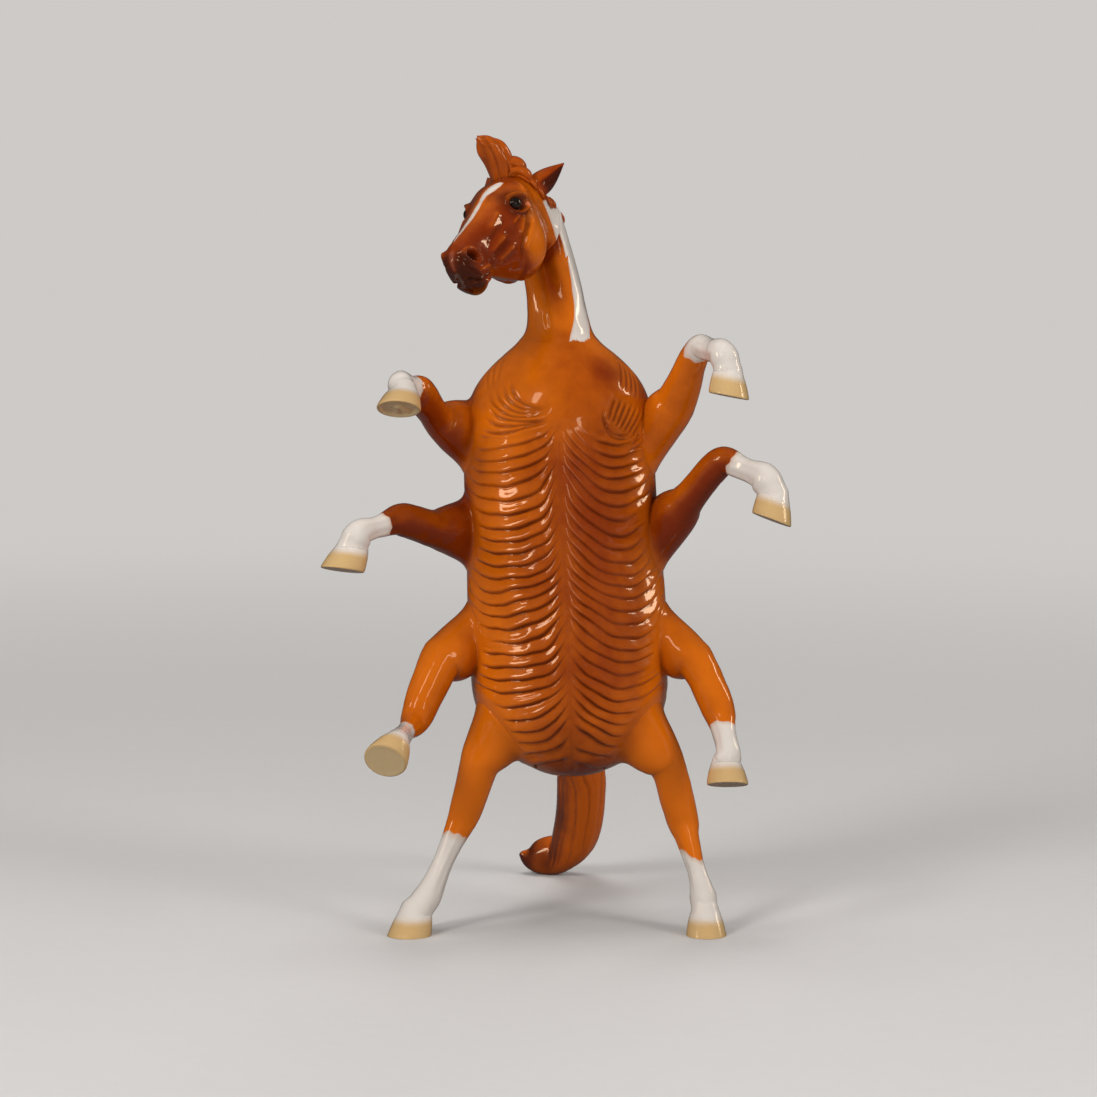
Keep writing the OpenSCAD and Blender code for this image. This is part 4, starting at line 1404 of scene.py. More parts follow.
# Shares of the way from foot to throat: up, the crest's way back, the front's, and aside; half width
NECK_SHARES = np.array(
    [
        [1, 1, 1, 1, 0.340],
        [0.90, 0.66, 0.92, 0.88, 0.350],
        [0.77, 0.35, 0.80, 0.73, 0.366],
        [0.60, 0.18, 0.62, 0.51, 0.385],
        [0.45, 0.10, 0.46, 0.31, 0.402],
        [0.30, 0.05, 0.30, 0.18, 0.418],
        [0.15, 0.02, 0.14, 0.06, 0.448],
        [0, 0, 0, 0, 0.5],
    ]
)


@dataclass(frozen=True)
class Lump:
    """A lump or hollow of the head: place along it, bearing from the brow, spread both ways, height."""

    place: float
    bearing: float
    long: float
    wide: float
    height: float

    def at(self, place: Points, bearing: Points) -> Points:
        """Its height as a share of the head, at places along it and bearings to either side."""
        gap = ((place - self.place) / self.long) ** 2 + ((bearing - self.bearing) / self.wide) ** 2
        return self.height * np.exp(-gap)


@dataclass(frozen=True)
class Fold:
    """A fold or groove of the face on the side-view drawing: distance and rise as shares of the head."""

    line: tuple[tuple[float, float], ...]
    width: float
    height: float
    # How dark the painted shade in the fold's groove is.
    groove_shade: float = 0.0


@dataclass(frozen=True)
class Hollow:
    """A rimmed hollow of the face: its place on the drawing, then its form by distance from there."""

    place: tuple[float, float]
    depth: float
    size: float
    power: int
    rim: float
    rim_at: float
    rim_width: float

    def at(self, gap: Points) -> Points:
        """Its height at distances from its middle."""
        rim = self.rim * bell(gap - self.rim_at, self.rim_width)
        return -self.depth * bell(gap, self.size, self.power) + rim


@dataclass(frozen=True)
class FaceMap:
    """Where the points of the head's skin lie.

    Attributes:
        flat: Distance and rise on the side-view drawing, as shares of the head.
        aside: How far from the head's middle plane, as a share of it.
        place: Place along the head.
        bearing: Degrees from the brow.
        cheeks: 1 on the sides of the face, 0 along its middle.
        eye: Millimetres from the eye's middle.
        pit: Distance from the nostril's middle, in its own half sizes.
        edge: How far ahead of the cheek's front edge.
    """

    flat: Points
    aside: Points
    place: Points
    bearing: Points
    cheeks: Points
    eye: Points
    pit: Points
    edge: Points


def edged(inside: Points) -> Points:
    """How surely points are in a white patch, from how many millimetres inside its edge they are."""
    return 0.5 + 0.9 * np.clip(inside, -0.55, 0.55)


@dataclass
class Head:
    """The head, turned to the left and nodding."""

    barrel: Barrel
    length: float = 24.0
    turn: float = 25.6
    nod: float = 23.5
    tilt: float = 15.0
    rise: float = 23.1
    left: float = 7.2
    front: float = 0.5
    nostril_long: float = 0.50
    nostril_wide: float = 0.86
    fold_height: float = 1.35
    ridge_least: float = 0.15
    cheek_height: float = 0.36
    cheek_size: float = 3.2
    strip_half: float = 0.088
    rows: int = 230
    nose_rows: int = 26
    sides: int = 230

    def __post_init__(self) -> None:
        """Works out the head's own ways."""
        turn, nod, tilt = (math.radians(x) for x in (self.turn, self.nod, self.tilt))
        b = self.barrel
        level = math.cos(nod)
        self.ahead = np.array([-math.sin(turn) * level, -math.cos(turn) * level, -math.sin(nod)])
        aside = np.array([math.cos(turn), -math.sin(turn), 0.0])
        self.side = aside * math.cos(tilt) + np.cross(self.ahead, aside) * math.sin(tilt)
        self.up = np.cross(self.ahead, self.side)
        self.poll = np.array([b.foot_x - self.left, b.foot_y - self.front, b.lift + b.length + self.rise])

    def section(self, u: Points) -> tuple[Points, Points, Points]:
        """The head's sections.

        Args:
            u: Row numbers of its table.

        Returns:
            Their middles, half heights and half widths.
        """
        s = along(HEAD_SHARES, u) * self.length
        top = self.poll + self.ahead * s[..., 0:1] + self.up * s[..., 1:2]
        jaw = self.poll + self.ahead * s[..., 2:3] + self.up * s[..., 3:4]
        return (top + jaw) / 2, (top - jaw) / 2, self.side * s[..., 4:5]

    def surface(self, u: Value, bearing: Value) -> tuple[Points, Points, Points]:
        """Points of the plain head.

        Args:
            u: Row numbers of the sections.
            bearing: Degrees from the brow, to the near side.

        Returns:
            The points, the way out at each, and its place along the head.
        """
        u, bearing = np.broadcast_arrays(np.asarray(u, float), np.asarray(bearing, float))
        a = np.radians(bearing)
        middle, high, wide = self.section(u)
        s = along(HEAD_SHARES, u)
        place = mix(s[..., 2], s[..., 0], (1 + np.cos(a)) / 2)
        v = high * np.cos(a)[..., None] + wide * (np.sin(a) * (1 + 0.1 * np.sin(2 * a) ** 2))[..., None]
        return middle + v, unit(v), place

    def drawing(self, p: Points) -> tuple[Points, Points]:
        """Points on the side-view drawing as shares of the head, and how far aside they are."""
        v = (p - self.poll) / self.length
        return np.stack([v @ self.ahead, v @ self.up], axis=-1), v @ self.side

    def face_map(self, rings: Points, place: Points, bearing: Points) -> FaceMap:
        """Where points of the skin lie.

        Args:
            rings: The points.
            place: Their places along the head.
            bearing: Their bearings from the brow.

        Returns:
            Their places in the ways that the features of the face are given in.
        """
        flat, aside = self.drawing(rings)
        nose = (flat * self.length - np.array(NOSTRIL.place) * self.length) @ np.array(NOSTRIL_TURN)
        return FaceMap(
            flat, aside, place, bearing,
            cheeks=rises(np.abs(aside), 0.012, 0.03),
            eye=self.from_place(flat, EYE_SOCKET.place),
            pit=np.hypot(nose[..., 0] / self.nostril_long, nose[..., 1] / self.nostril_wide),
            edge=flat[..., 0] - np.interp(flat[..., 1], *zip(*CHEEK_FRONT)),
        )

    def from_place(
        self, flat: Points, place: tuple[float, float], squash: tuple[float, float] = (1.0, 1.0)
    ) -> Points:
        """Millimetres from a place on the drawing, squashed along its two ways."""
        gap = (flat * self.length - np.array(place) * self.length) * np.array(squash)
        return np.linalg.norm(gap, axis=-1)

    def skin(self) -> Skin:
        """The head from its nose to its throat.

        Returns:
            Its skin with its paint fields.
        """
        nose = np.linspace(0, 1, self.nose_rows)[:-1] ** 1.5
        u = np.concatenate([nose, np.linspace(1, len(HEAD_SHARES) - 1, self.rows - len(nose))])
        u, bearing = np.meshgrid(u, np.linspace(-180, 180, self.sides, endpoint=False), indexing="ij")
        p, out, place = self.surface(u, bearing)
        height = np.zeros(place.shape)
        for lump in LUMPS:
            height += lump.at(place, np.abs(bearing)) * self.length
        skin = Skin(p + out * height[..., None])
        face = self.face_map(skin.rings, place, bearing)
        relief, groove, lit_ridge = (np.zeros(place.shape) for _ in range(3))
        for fold in FACE_FOLDS:
            line = curve(np.array(fold.line), 16) * self.length
            mark = stroke(face.flat * self.length, line, fold.width) * face.cheeks
            relief += self.fold_height * fold.height * mark
            # Painted shade in the folds' grooves; the raised folds are marked for a painted highlight.
            groove = np.maximum(groove, fold.groove_shade * mark)
            if fold.height > self.ridge_least:
                lit_ridge = np.maximum(lit_ridge, mark)
        relief += face.cheeks * EYE_SOCKET.at(face.eye)
        relief += face.cheeks * NOSTRIL.at(face.pit)
        cheek = face.cheeks * self.cheek_height * ease(-face.edge / 0.022)
        relief += cheek * rises(face.flat[..., 0], 0.06, 0.26)
        skin.swell(relief + 0.03 * wander(skin.rings, 2.2, 31))
        skin.fields = self.painted(face, lit_ridge, rises(-skin.normals()[..., 2], 0.1, 0.6))
        skin.fields["groove"] = np.clip(groove, 0, 1)
        return skin

    def painted(self, face: FaceMap, lit_ridge: Points, under: Points) -> dict[str, Points]:
        """The browns with their painted shade, the white, and the bare skin of the head, with a painted sheen
        on the nose.

        Args:
            face: Where the points lie.
            lit_ridge: How surely each is on a raised fold, which is painted lighter as a painted highlight.
            under: How far each faces down, where painted shade darkens it.

        Returns:
            Their paint fields.
        """
        far, rise = face.flat[..., 0], face.flat[..., 1]
        disc = self.from_place(face.flat, CHEEK_PLACE, (1.0, 0.66))
        cheek = bell(disc, self.cheek_size, 4) * falls(face.edge, 0.03, 0.03)
        dark = rises(far, 0.24, 0.30) * falls(rise, 0.05, 0.12) * (1 - cheek)
        socket = bell(face.eye, 3.0) * face.cheeks
        brow = falls(face.place, 0.30, 0.14) * rises(rise, -0.02, 0.06)
        muzzle = far - 0.795 + 0.30 * np.maximum(0, -0.15 - rise)
        # Sooty dark: the muzzle's own dark, with painted shade round the eye, in its socket, in the nostril
        # and under the forelock at the brow.
        soot_and_shade = np.maximum(0.9 * face.cheeks * bell(face.eye, 1.9), face.cheeks * bell(face.pit, 1.3))
        soot_and_shade = np.maximum(soot_and_shade, 0.98 * ease(muzzle / 0.13))
        soot_and_shade = np.maximum(soot_and_shade, 0.40 * dark * rises(rise, -0.36, 0.10))
        soot_and_shade = np.maximum(soot_and_shade, 0.86 * socket)
        soot_and_shade = np.maximum(soot_and_shade * (1 - 0.30 * lit_ridge), 0.50 * brow)
        # Painted shade in the eye's socket, under the forelock and on faces turned down; painted highlight on
        # raised folds; darker over the lower face, lighter on the cheek.
        shade = 0.42 + 0.50 * dark - 0.30 * cheek + 0.40 * socket + 0.45 * brow - 0.28 * lit_ridge
        shade = shade + 0.3 * under * (1 - cheek)
        middle = np.abs(face.bearing) * np.pi / 180 * self.length * 0.12
        # A painted sheen of pink down the nose's front, beside the real pink corner of the eye.
        nose_sheen = rises(far, 0.84, 0.06) * bell(middle, 1.3) * falls(far, 0.99, 0.05) * 0.55
        corner = self.from_place(face.flat, EYE_CORNER)
        flesh_and_sheen = np.maximum(nose_sheen, 0.9 * face.cheeks * bell(corner, 0.45))
        white = np.maximum(self.blaze(face), self.strip_top(face))
        return {
            "shade": np.clip(shade, 0, 1),
            "soot_and_shade": np.clip(soot_and_shade - 0.7 * flesh_and_sheen, 0, 1),
            "white": np.clip(white, 0, 1),
            "flesh_and_sheen": flesh_and_sheen,
        }

    def strip_top(self, face: FaceMap) -> Points:
        """The upper end of the neck's white strip, behind the near ear.

        Args:
            face: Where the points lie.

        Returns:
            How surely each is in it.
        """
        start, end = np.array(STRIP_TOP)
        v = face.flat - start
        way = unit(end - start)
        run, off = v @ way, v @ np.array([-way[1], way[0]])
        rest = float(np.linalg.norm(end - start)) - run
        inside = np.minimum(self.strip_half - np.abs(off), np.minimum(run, rest)) * self.length
        return np.where(face.aside > 0.0, edged(inside), 0.0)

    def blaze(self, face: FaceMap) -> Points:
        """The white blaze.

        Args:
            face: Where the points lie.

        Returns:
            How surely each is in it.
        """
        places, middles, halves = zip(*BLAZE)
        middle = np.interp(face.place, places, middles)
        half = np.interp(face.place, places, halves, left=-1.0, right=-1.0)
        worn = 0.28 * rises(face.place, 0.72, 0.16)
        inside = (half - np.abs(face.aside - middle)) * self.length
        return np.where(np.abs(face.bearing) < 85, edged(inside) - worn, 0.0)


LUMPS = (
    Lump(0.30, 62, 0.050, 20, 0.024),
    Lump(0.20, 48, 0.10, 24, 0.036),
    Lump(0.25, 104, 0.13, 34, 0.022),
    Lump(0.52, 70, 0.10, 16, 0.014),
    Lump(0.855, 62, 0.035, 20, -0.012),
    Lump(0.855, 38, 0.05, 14, 0.006),
    Lump(0.70, 150, 0.07, 30, -0.014),
)
EYE_SOCKET = Hollow((0.32, -0.055), depth=0.55, size=1.05, power=4, rim=0.30, rim_at=1.35, rim_width=0.32)
NOSTRIL = Hollow((0.842, -0.113), depth=1.0, size=1.0, power=3, rim=0.30, rim_at=1.65, rim_width=0.45)
NOSTRIL_TURN = ((0.80, 0.60), (-0.60, 0.80))
EYE_CORNER = (0.275, -0.09)
CHEEK_PLACE = (0.285, -0.275)
# Rise and distance of the cheek's front edge
CHEEK_FRONT = (
    (-0.60, 0.44), (-0.405, 0.452), (-0.30, 0.445), (-0.235, 0.397), (-0.18, 0.322), (-0.115, 0.285),
    (-0.05, 0.24), (0.1, 0.10),
)
# Place along the head, how far aside the middle is, and half width
BLAZE = (
    (0.20, 0.055, -0.01), (0.215, 0.055, 0.022), (0.25, 0.040, 0.034), (0.31, 0.016, 0.034),
    (0.35, 0.004, 0.020), (0.40, 0.002, 0.014), (0.47, 0.000, 0.017), (0.56, -0.004, 0.018),
    (0.67, -0.010, 0.016), (0.79, -0.014, 0.012), (0.87, -0.004, 0.008), (0.90, 0.0, -0.01),
)
STRIP_TOP = ((-0.095, -0.205), (-0.065, -0.52))
FACE_FOLDS = (
    Fold(((0.43, -0.020), (0.49, -0.041), (0.549, -0.058), (0.62, -0.068)), 0.42, 0.26),
    Fold(((0.44, -0.075), (0.52, -0.095), (0.60, -0.112), (0.69, -0.125)), 0.38, -0.18, 0.45),
    Fold(((0.51, -0.147), (0.577, -0.157), (0.639, -0.168), (0.71, -0.177)), 0.50, 0.36),
    Fold(((0.48, -0.190), (0.56, -0.202), (0.63, -0.210), (0.69, -0.215)), 0.24, -0.26, 0.7),
    Fold(((0.47, -0.231), (0.544, -0.243), (0.601, -0.249), (0.66, -0.248)), 0.40, 0.30),
    Fold(((0.49, -0.285), (0.56, -0.292), (0.62, -0.290)), 0.26, -0.16, 0.45),
    Fold(((0.335, -0.118), (0.380, -0.168), (0.435, -0.220)), 0.42, 0.32),
    Fold(((0.350, -0.112), (0.395, -0.118), (0.445, -0.130)), 0.22, 0.18),
    Fold(
        ((0.30, -0.115), (0.33, -0.18), (0.405, -0.235), (0.455, -0.30), (0.462, -0.405)), 0.34, -0.30, 0.75
    ),
    Fold(
        ((0.930, -0.195), (0.915, -0.233), (0.887, -0.247), (0.80, -0.262), (0.715, -0.272)), 0.24, -0.34, 0.9
    ),
    Fold(((0.864, -0.205), (0.794, -0.214), (0.72, -0.238)), 0.28, 0.22),
    Fold(((0.85, -0.285), (0.766, -0.300), (0.68, -0.294)), 0.26, 0.18),
    Fold(((0.73, -0.200), (0.685, -0.235), (0.668, -0.270)), 0.22, -0.18, 0.5),
    Fold(((0.375, -0.030), (0.325, -0.006), (0.275, -0.022), (0.248, -0.067)), 0.30, 0.30),
    Fold(((0.385, -0.060), (0.345, -0.100), (0.290, -0.104), (0.255, -0.080)), 0.24, 0.22),
    Fold(((0.90, -0.090), (0.865, -0.060), (0.815, -0.070), (0.79, -0.120)), 0.30, 0.22),
)


@dataclass
class Neck:
    """The neck, from the throat down to its foot on the barrel."""

    barrel: Barrel
    head: Head
    roots: Sequence[tuple[Join, float]]
    width: float = 9.9
    depth: float = 11.6
    foot_left: float = 0.012
    foot_back: float = 0.08
    gap: float = 0.08
    fillet: float = 0.85
    shoulder_slope: float = 1.9
    skirt_share: float = 0.062
    rows: int = 150
    skirt_rows: int = 30
    sides: int = 160

    def section(self, u: Points) -> tuple[Points, Points, Points]:
        """The neck's sections.

        Args:
            u: Row numbers from the throat.

        Returns:
            Their middles, half depths and half widths.
        """
        middle, high, wide = (x[0] for x in self.head.section(np.array([float(len(HEAD_SHARES) - 1)])))
        seam = unit(np.cross(high, wide)) * self.gap
        s = along(NECK_SHARES, u)
        b = self.barrel
        x, y = b.foot_x - self.foot_left * b.width, b.foot_y + self.depth * self.foot_back
        foot, half = np.array([x, y, b.lift + b.length + self.gap]), np.array([0, self.depth / 2, 0])
        crest = mix(foot + half, middle + high + seam, s[..., [3, 1, 0]])
        front = mix(foot - half, middle - high + seam, s[..., [3, 2, 0]])
        side = unit(mix(np.array([1.0, 0, 0]), self.head.side, s[..., 0:1] ** 2))
        return (crest + front) / 2, (crest - front) / 2, side * s[..., 4:5] * self.width

    def surface(self, u: Value, bearing: Value, grow: Value = 0.0) -> Points:
        """Points of the plain neck.

        Args:
            u: Row numbers from the throat.
            bearing: Degrees from the crest.
            grow: How far outside it.

        Returns:
            The points.
        """
        u, bearing, grow = np.broadcast_arrays(*(np.asarray(x, float) for x in (u, bearing, grow)))
        a = np.radians(bearing)
        middle, high, wide = self.section(u)
        plump = 1 + 0.1 * np.clip(len(NECK_SHARES) - 1 - u, 0, 1) * np.sin(2 * a) ** 2
        v = high * np.cos(a)[..., None] + wide * (np.sin(a) * plump)[..., None]
        return middle + v + unit(v) * grow[..., None]

    def skin(self) -> Skin:
        """The neck, its foot spread over the barrel's shoulder.

        Returns:
            Its skin with its paint fields.
        """
        last = len(NECK_SHARES) - 1
        u, around = np.linspace(0.0, last, self.rows), np.linspace(-180, 180, self.sides, endpoint=False)
        row, bearing = np.meshgrid(u, around, indexing="ij")
        foot = self.surface(float(last), around)
        drop = np.array([0, 0, self.skirt_share * self.barrel.length])
        steps = np.linspace(0, 1, self.skirt_rows)[1:]
        skirts = [self.filleted(foot - drop * t, 0.04 - 0.34 * rises(t, 0.5, 0.5)) for t in steps]
        skin = Skin(np.concatenate([self.filleted(self.surface(row, bearing)), np.array(skirts)]))
        row, bearing = np.meshgrid(np.concatenate([u, last + steps]), around, indexing="ij")
        height = np.zeros(row.shape)
        for middle, wide, lift in NECK_CORDS:
            height += lift * bell(bearing - middle, wide) * rises(row, 0.3, 1.5) * falls(row, 7.0, 1.5)
        skin.swell(height + 0.05 * wander(skin.rings, 6.0, 41))
        # Painted shadow under the jaw at the throat and down the neck's front.
        throat = falls(row, 1.6, 1.6) * rises(np.abs(bearing), 60, 60)
        front = bell(bearing - 176, 24) + bell(bearing + 184, 24)
        dark = 0.22 + 0.60 * throat + 0.52 * front * falls(row, 6.2, 3.5)
        body = self.barrel.shading(skin.rings, self.roots)
        skin.fields = {
            "shade": np.clip(mix(dark, body, rises(row, 5.2, 1.6)), 0, 1),
            "white": np.clip(self.strip(row, bearing), 0, 1),
        }
        return skin

    def filleted(self, p: Points, grow: Value = 0.05) -> Points:
        """Points of the neck's foot, spread out to meet the barrel's shoulder in a soft hollow.

        Args:
            p: The points.
            grow: How far outside the barrel the fillet ends.

        Returns:
            The points, moved level and outward.
        """
        b = self.barrel
        h = p[..., 2] - b.lift
        axis = b.axis_at(p)
        turn = np.degrees(np.arctan2(p[..., 0] - axis[..., 0], axis[..., 1] - p[..., 1]))
        edge = b.surface(turn, np.minimum(h, b.length), grow)
        shoulder = np.linalg.norm(edge[..., :2] - axis[..., :2], axis=-1)
        shoulder = shoulder - self.shoulder_slope * np.maximum(0, h - b.length)
        own = np.linalg.norm(p - axis, axis=-1)
        gap = (own - shoulder) / self.fillet
        wide = shoulder + self.fillet * (np.maximum(gap, 0) + np.log1p(np.exp(-np.abs(gap))))
        wide = np.where(gap < -2.5, mix(shoulder, wide, np.exp(np.minimum(0, gap + 2.5))), wide)
        return axis + (p - axis) * (wide / own)[..., None]

    def strip(self, row: Points, bearing: Points) -> Points:
        """The white strip down the neck's near side.

        Args:
            row: Row numbers from the throat.
            bearing: Degrees from the crest.

        Returns:
            How surely each point is in it.
        """
        rows, lows, highs = zip(*NECK_STRIP)
        inside = np.minimum(bearing - np.interp(row, rows, lows), np.interp(row, rows, highs) - bearing)
        foot = rows[-1] - row + 0.07 * np.sin(0.23 * bearing) + 0.03 * np.sin(0.9 * bearing)
        ends = np.minimum(row - rows[0], foot)
        return 0.5 + np.clip(np.minimum(inside * 0.08, ends * 2.5), -0.5, 0.5)


# Row from the throat, and the bearings of the strip's two edges
NECK_STRIP = (
    (-0.6, 32, 112), (0.7, 40, 116), (1.35, 56, 120), (1.70, 64, 124), (1.80, 66, 111), (1.95, 68, 120),
    (2.5, 70, 126), (3.5, 72, 137), (4.5, 78, 143), (5.2, 94, 148), (6.1, 110, 157), (6.9, 128, 166),
)
# Bearing, width and height of each cord of muscle
NECK_CORDS = (
    (150.0, 9.0, 0.20), (-172.0, 9.0, 0.16), (170.0, 9.0, -0.12), (-128.0, 12.0, 0.10), (128.0, 10.0, -0.06),
)


@dataclass
class Eye:
    """One glazed eyeball in its socket."""

    head: Head
    side: int
    radius: float = 1.02
    sunk: float = 0.42
    bulge: float = 0.45
    look_aside: float = 0.8
    rows: int = 40
    sides: int = 56

    def skin(self) -> Skin:
        """The eyeball, set where the head's surface is nearest the socket's middle.

        Returns:
            Its skin.
        """
        u, bearing = np.meshgrid(np.linspace(4, 14, 160), np.linspace(15, 120, 160), indexing="ij")
        p, out, _ = self.head.surface(u, bearing * self.side)
        gap = np.linalg.norm(self.head.drawing(p)[0] - np.array(EYE_SOCKET.place), axis=-1)
        k = np.unravel_index(np.argmin(gap), gap.shape)
        way = unit(out[k] + self.head.side * self.side * self.look_aside)
        middle = p[k] + out[k] * self.bulge - way * self.sunk
        pole = np.pi / 2 - 0.02
        lat, turn = np.linspace(-pole, pole, self.rows)[:, None, None], turns(self.sides)[None, :, None]
        across = unit(np.cross(way, np.array([0, 0, 1.0])))
        around = across * np.cos(turn) + np.cross(way, across) * np.sin(turn)
        return Skin(middle + self.radius * (np.cos(lat) * around + np.sin(lat) * way))


# Width at even steps up the ear
EAR_WIDTHS = ((1.0,), (1.14,), (1.12,), (0.96,), (0.70,), (0.38,), (0.05,))


@dataclass
class Ear:
    """A hollow leaf set on the head."""

    head: Head
    row: float
    bearing: float
    lean: tuple[float, float, float]
    length: float = 5.2
    width: float = 0.29
    back: float = 0.86
    inside: float = 0.42
    root: float = 0.8
    sides: int = 64
    steps: int = 60

    def skin(self) -> Skin:
        """The ear, hollow from just above its root.

        Returns:
            Its skin with its paint fields.
        """
        base, _, _ = self.head.surface(self.row, self.bearing)
        way = unit(np.array(self.lean))
        across = unit(np.cross(way, np.array([0, -1, 0.2])))
        t = np.linspace(0, 1, self.steps)[:, None]
        steps = along(np.array(EAR_WIDTHS), t[:, 0] * (len(EAR_WIDTHS) - 1))
        width = self.length * self.width * steps
        turn = turns(self.sides)
        s = np.sin(turn)[None]
        hollow = width * (np.where(s > 0, -self.inside, -self.back) * np.abs(s) ** 0.9)
        open_ = rises(t, 0.05, 0.3)
        depth = mix(width * 0.8 * s, hollow, open_)
        middle = base - way * self.root + way * ((self.length + self.root) * t)
        skin = Skin(rings_about(middle, across, np.cross(way, across), width * np.cos(turn), depth))
        # Painted shade: darker and sootier inside the cup, on faces turned down and to the right.
        inner = rises(skin.normals() @ unit(np.array([0.55, -0.5, -0.75])), 0.1, 0.3) * open_
        skin.fields = {
            "shade": np.clip(0.72 + 0.3 * inner, 0, 1),
            "soot_and_shade": np.clip(0.85 * inner * falls(t, 1, 0.15), 0, 1),
        }
        return skin


@dataclass(frozen=True)
class Lock:
    """A lock of hair: a tapered, grooved strand along a path."""

    path: Points
    width: float
    thick: float
    face: Points
    strands: int = 4
    twist: float = 2.5
    tip: float = 0.12
    groove: float = 0.20
    groove_shade: float = 0.55
    shade: float = 0.55
    sides: int = 28
    steps: int = 44

    def skin(self) -> Skin:
        """The lock, grooved between its strands.

        Returns:
            Its skin with its paint fields.
        """
        t = np.linspace(0, 1, self.steps)
        c = along(self.path, t * (len(self.path) - 1))
        way = unit(np.gradient(c, axis=0))
        out = unit(self.face - way * (way @ self.face)[:, None])
        blunt = 1 - t**10
        size = np.sin(np.pi * (0.16 + 0.84 * t**1.6)) ** 0.5 * blunt + self.tip * 0.12 * blunt + 0.02
        turn = turns(self.sides)
        crest = 0.5 - 0.5 * np.cos(self.strands * turn[None, :] + self.twist * t[:, None])
        bulge = size[:, None] * (1 - self.groove * (1 - crest) ** 2)
        x = self.width / 2 * bulge * np.cos(turn)
        y = self.thick / 2 * bulge * np.sin(turn)
        skin = Skin(rings_about(c, np.cross(way, out), out, x, y))
        middle = skin.rings[self.steps // 2]
        if (skin.normals()[self.steps // 2] * (middle - middle.mean(axis=0))).sum() < 0:
            skin.rings = skin.rings[:, ::-1]
            crest = crest[:, ::-1]
        # Painted shade between the strands.
        skin.fields = {"groove": (1 - crest) ** 2 * self.groove_shade, "shade": np.full(crest.shape, self.shade)}
        return skin


@dataclass
class Hair:
    """Forelock, poll locks and mane."""

    head: Head
    neck: Neck
    forelock: float = 7.6
    root_row: float = 12.0
    root_bearing: float = -4.0
    mane_locks: int = 22
    mane_start: float = 0.55
    mane_length: float = 5.3
    mane_width: float = 1.9
    mane_thick: float = 1.15

    def tuft(self) -> list[Skin]:
        """The forelock's locks, blown up and to the left, and those over the poll.

        Returns:
            A skin for each lock.
        """
        base = self.head.surface(self.root_row, self.root_bearing)[0]
        face = np.array([0.3, -1.0, 0.2])
        skins = []
        for bends, width, thick in FORELOCK_LOCKS:
            path = base + self.forelock * np.array(bends)
            skins.append(Lock(path, width, thick, face, strands=2, tip=0.3).skin())
        return skins + self.poll_locks()

    def poll_locks(self) -> list[Skin]:
        """Short locks lying over the poll, and curls behind the near ear.

        Returns:
            A skin for each lock.
        """
        skins = []
        s = np.linspace(0, 1, 5)
        for (row_a, turn_a), (row_b, turn_b), lift, width in POLL_LOCKS:
            p, out, _ = self.head.surface(mix(row_a, row_b, s), mix(turn_a, turn_b, s))
            path = p + out * (lift * (0.25 + 0.75 * np.sin(np.pi * (0.15 + 0.75 * s))))[:, None]
            strands = 2 if width > 2 else 3
            skins.append(Lock(path, width, width * 0.75, out[2], strands=strands, tip=0.25).skin())
        return skins

    def mane(self) -> list[Skin]:
        """Locks laid along the neck's crest.

        Returns:
            A skin for each lock.
        """
        skins = []
        dice = np.random.default_rng(5)
        s = np.linspace(0, 1, 5)
        for k in range(self.mane_locks):
            start = self.mane_start + self.mane_length * k / (self.mane_locks - 1)
            side = -1 if k % 2 else 1
            a = side * dice.uniform(4, 22)
            b = a + dice.uniform(-6, 16)
            u = np.minimum(start + dice.uniform(1.0, 1.5) * s, 7.0)
            bearing = a + (b - a) * s + 5 * np.sin(4 * s + k)
            path = self.neck.surface(u, bearing, 0.30 + 0.25 * np.sin(np.pi * s))
            face = self.neck.surface(start, a, 1.0) - self.neck.surface(start, a)
            skins.append(Lock(path, self.mane_width, self.mane_thick, face).skin())
        return skins


# Places along each lock in forelock lengths from its root, then its width and thickness
FORELOCK_LOCKS = (
    (((-0.06, 0.02, -0.12), (-0.17, -0.06, 0.30), (-0.29, -0.14, 0.55), (-0.47, -0.22, 0.765)), 3.3, 2.5),
    (((-0.12, -0.06, -0.10), (-0.21, -0.12, 0.28), (-0.34, -0.20, 0.55), (-0.50, -0.28, 0.725)), 1.3, 1.2),
    (((0.02, -0.05, -0.12), (-0.06, -0.14, 0.28), (-0.20, -0.22, 0.56), (-0.36, -0.26, 0.76)), 1.7, 1.4),
    (((0.10, 0.02, -0.12), (0.07, 0.0, 0.24), (-0.05, -0.05, 0.50), (-0.20, -0.10, 0.735)), 2.3, 2.0),
    (((0.05, -0.06, -0.12), (0.02, -0.12, 0.22), (-0.10, -0.16, 0.46), (-0.24, -0.18, 0.68)), 1.3, 1.1),
    (((0.18, 0.0, -0.14), (0.15, -0.04, 0.12), (0.08, -0.06, 0.28), (-0.02, -0.10, 0.46)), 1.3, 1.1),
)
# Row and bearing of both ends on the head, lift and width
POLL_LOCKS = (
    ((12.2, 4), (13.3, 30), 1.75, 3.1),
    ((12.1, 16), (13.3, 44), 0.95, 2.5),
    ((12.0, 12), (12.9, 48), 0.45, 1.2),
    ((12.8, 22), (13.3, 60), 0.55, 1.2),
    ((13.4, 44), (13.9, 72), 0.35, 1.0),
    ((14.3, 62), (14.9, 78), 0.30, 0.9),
    ((14.8, 58), (15.4, 70), 0.28, 0.9),
    ((12.2, -4), (13.4, 8), 1.0, 1.8),
)

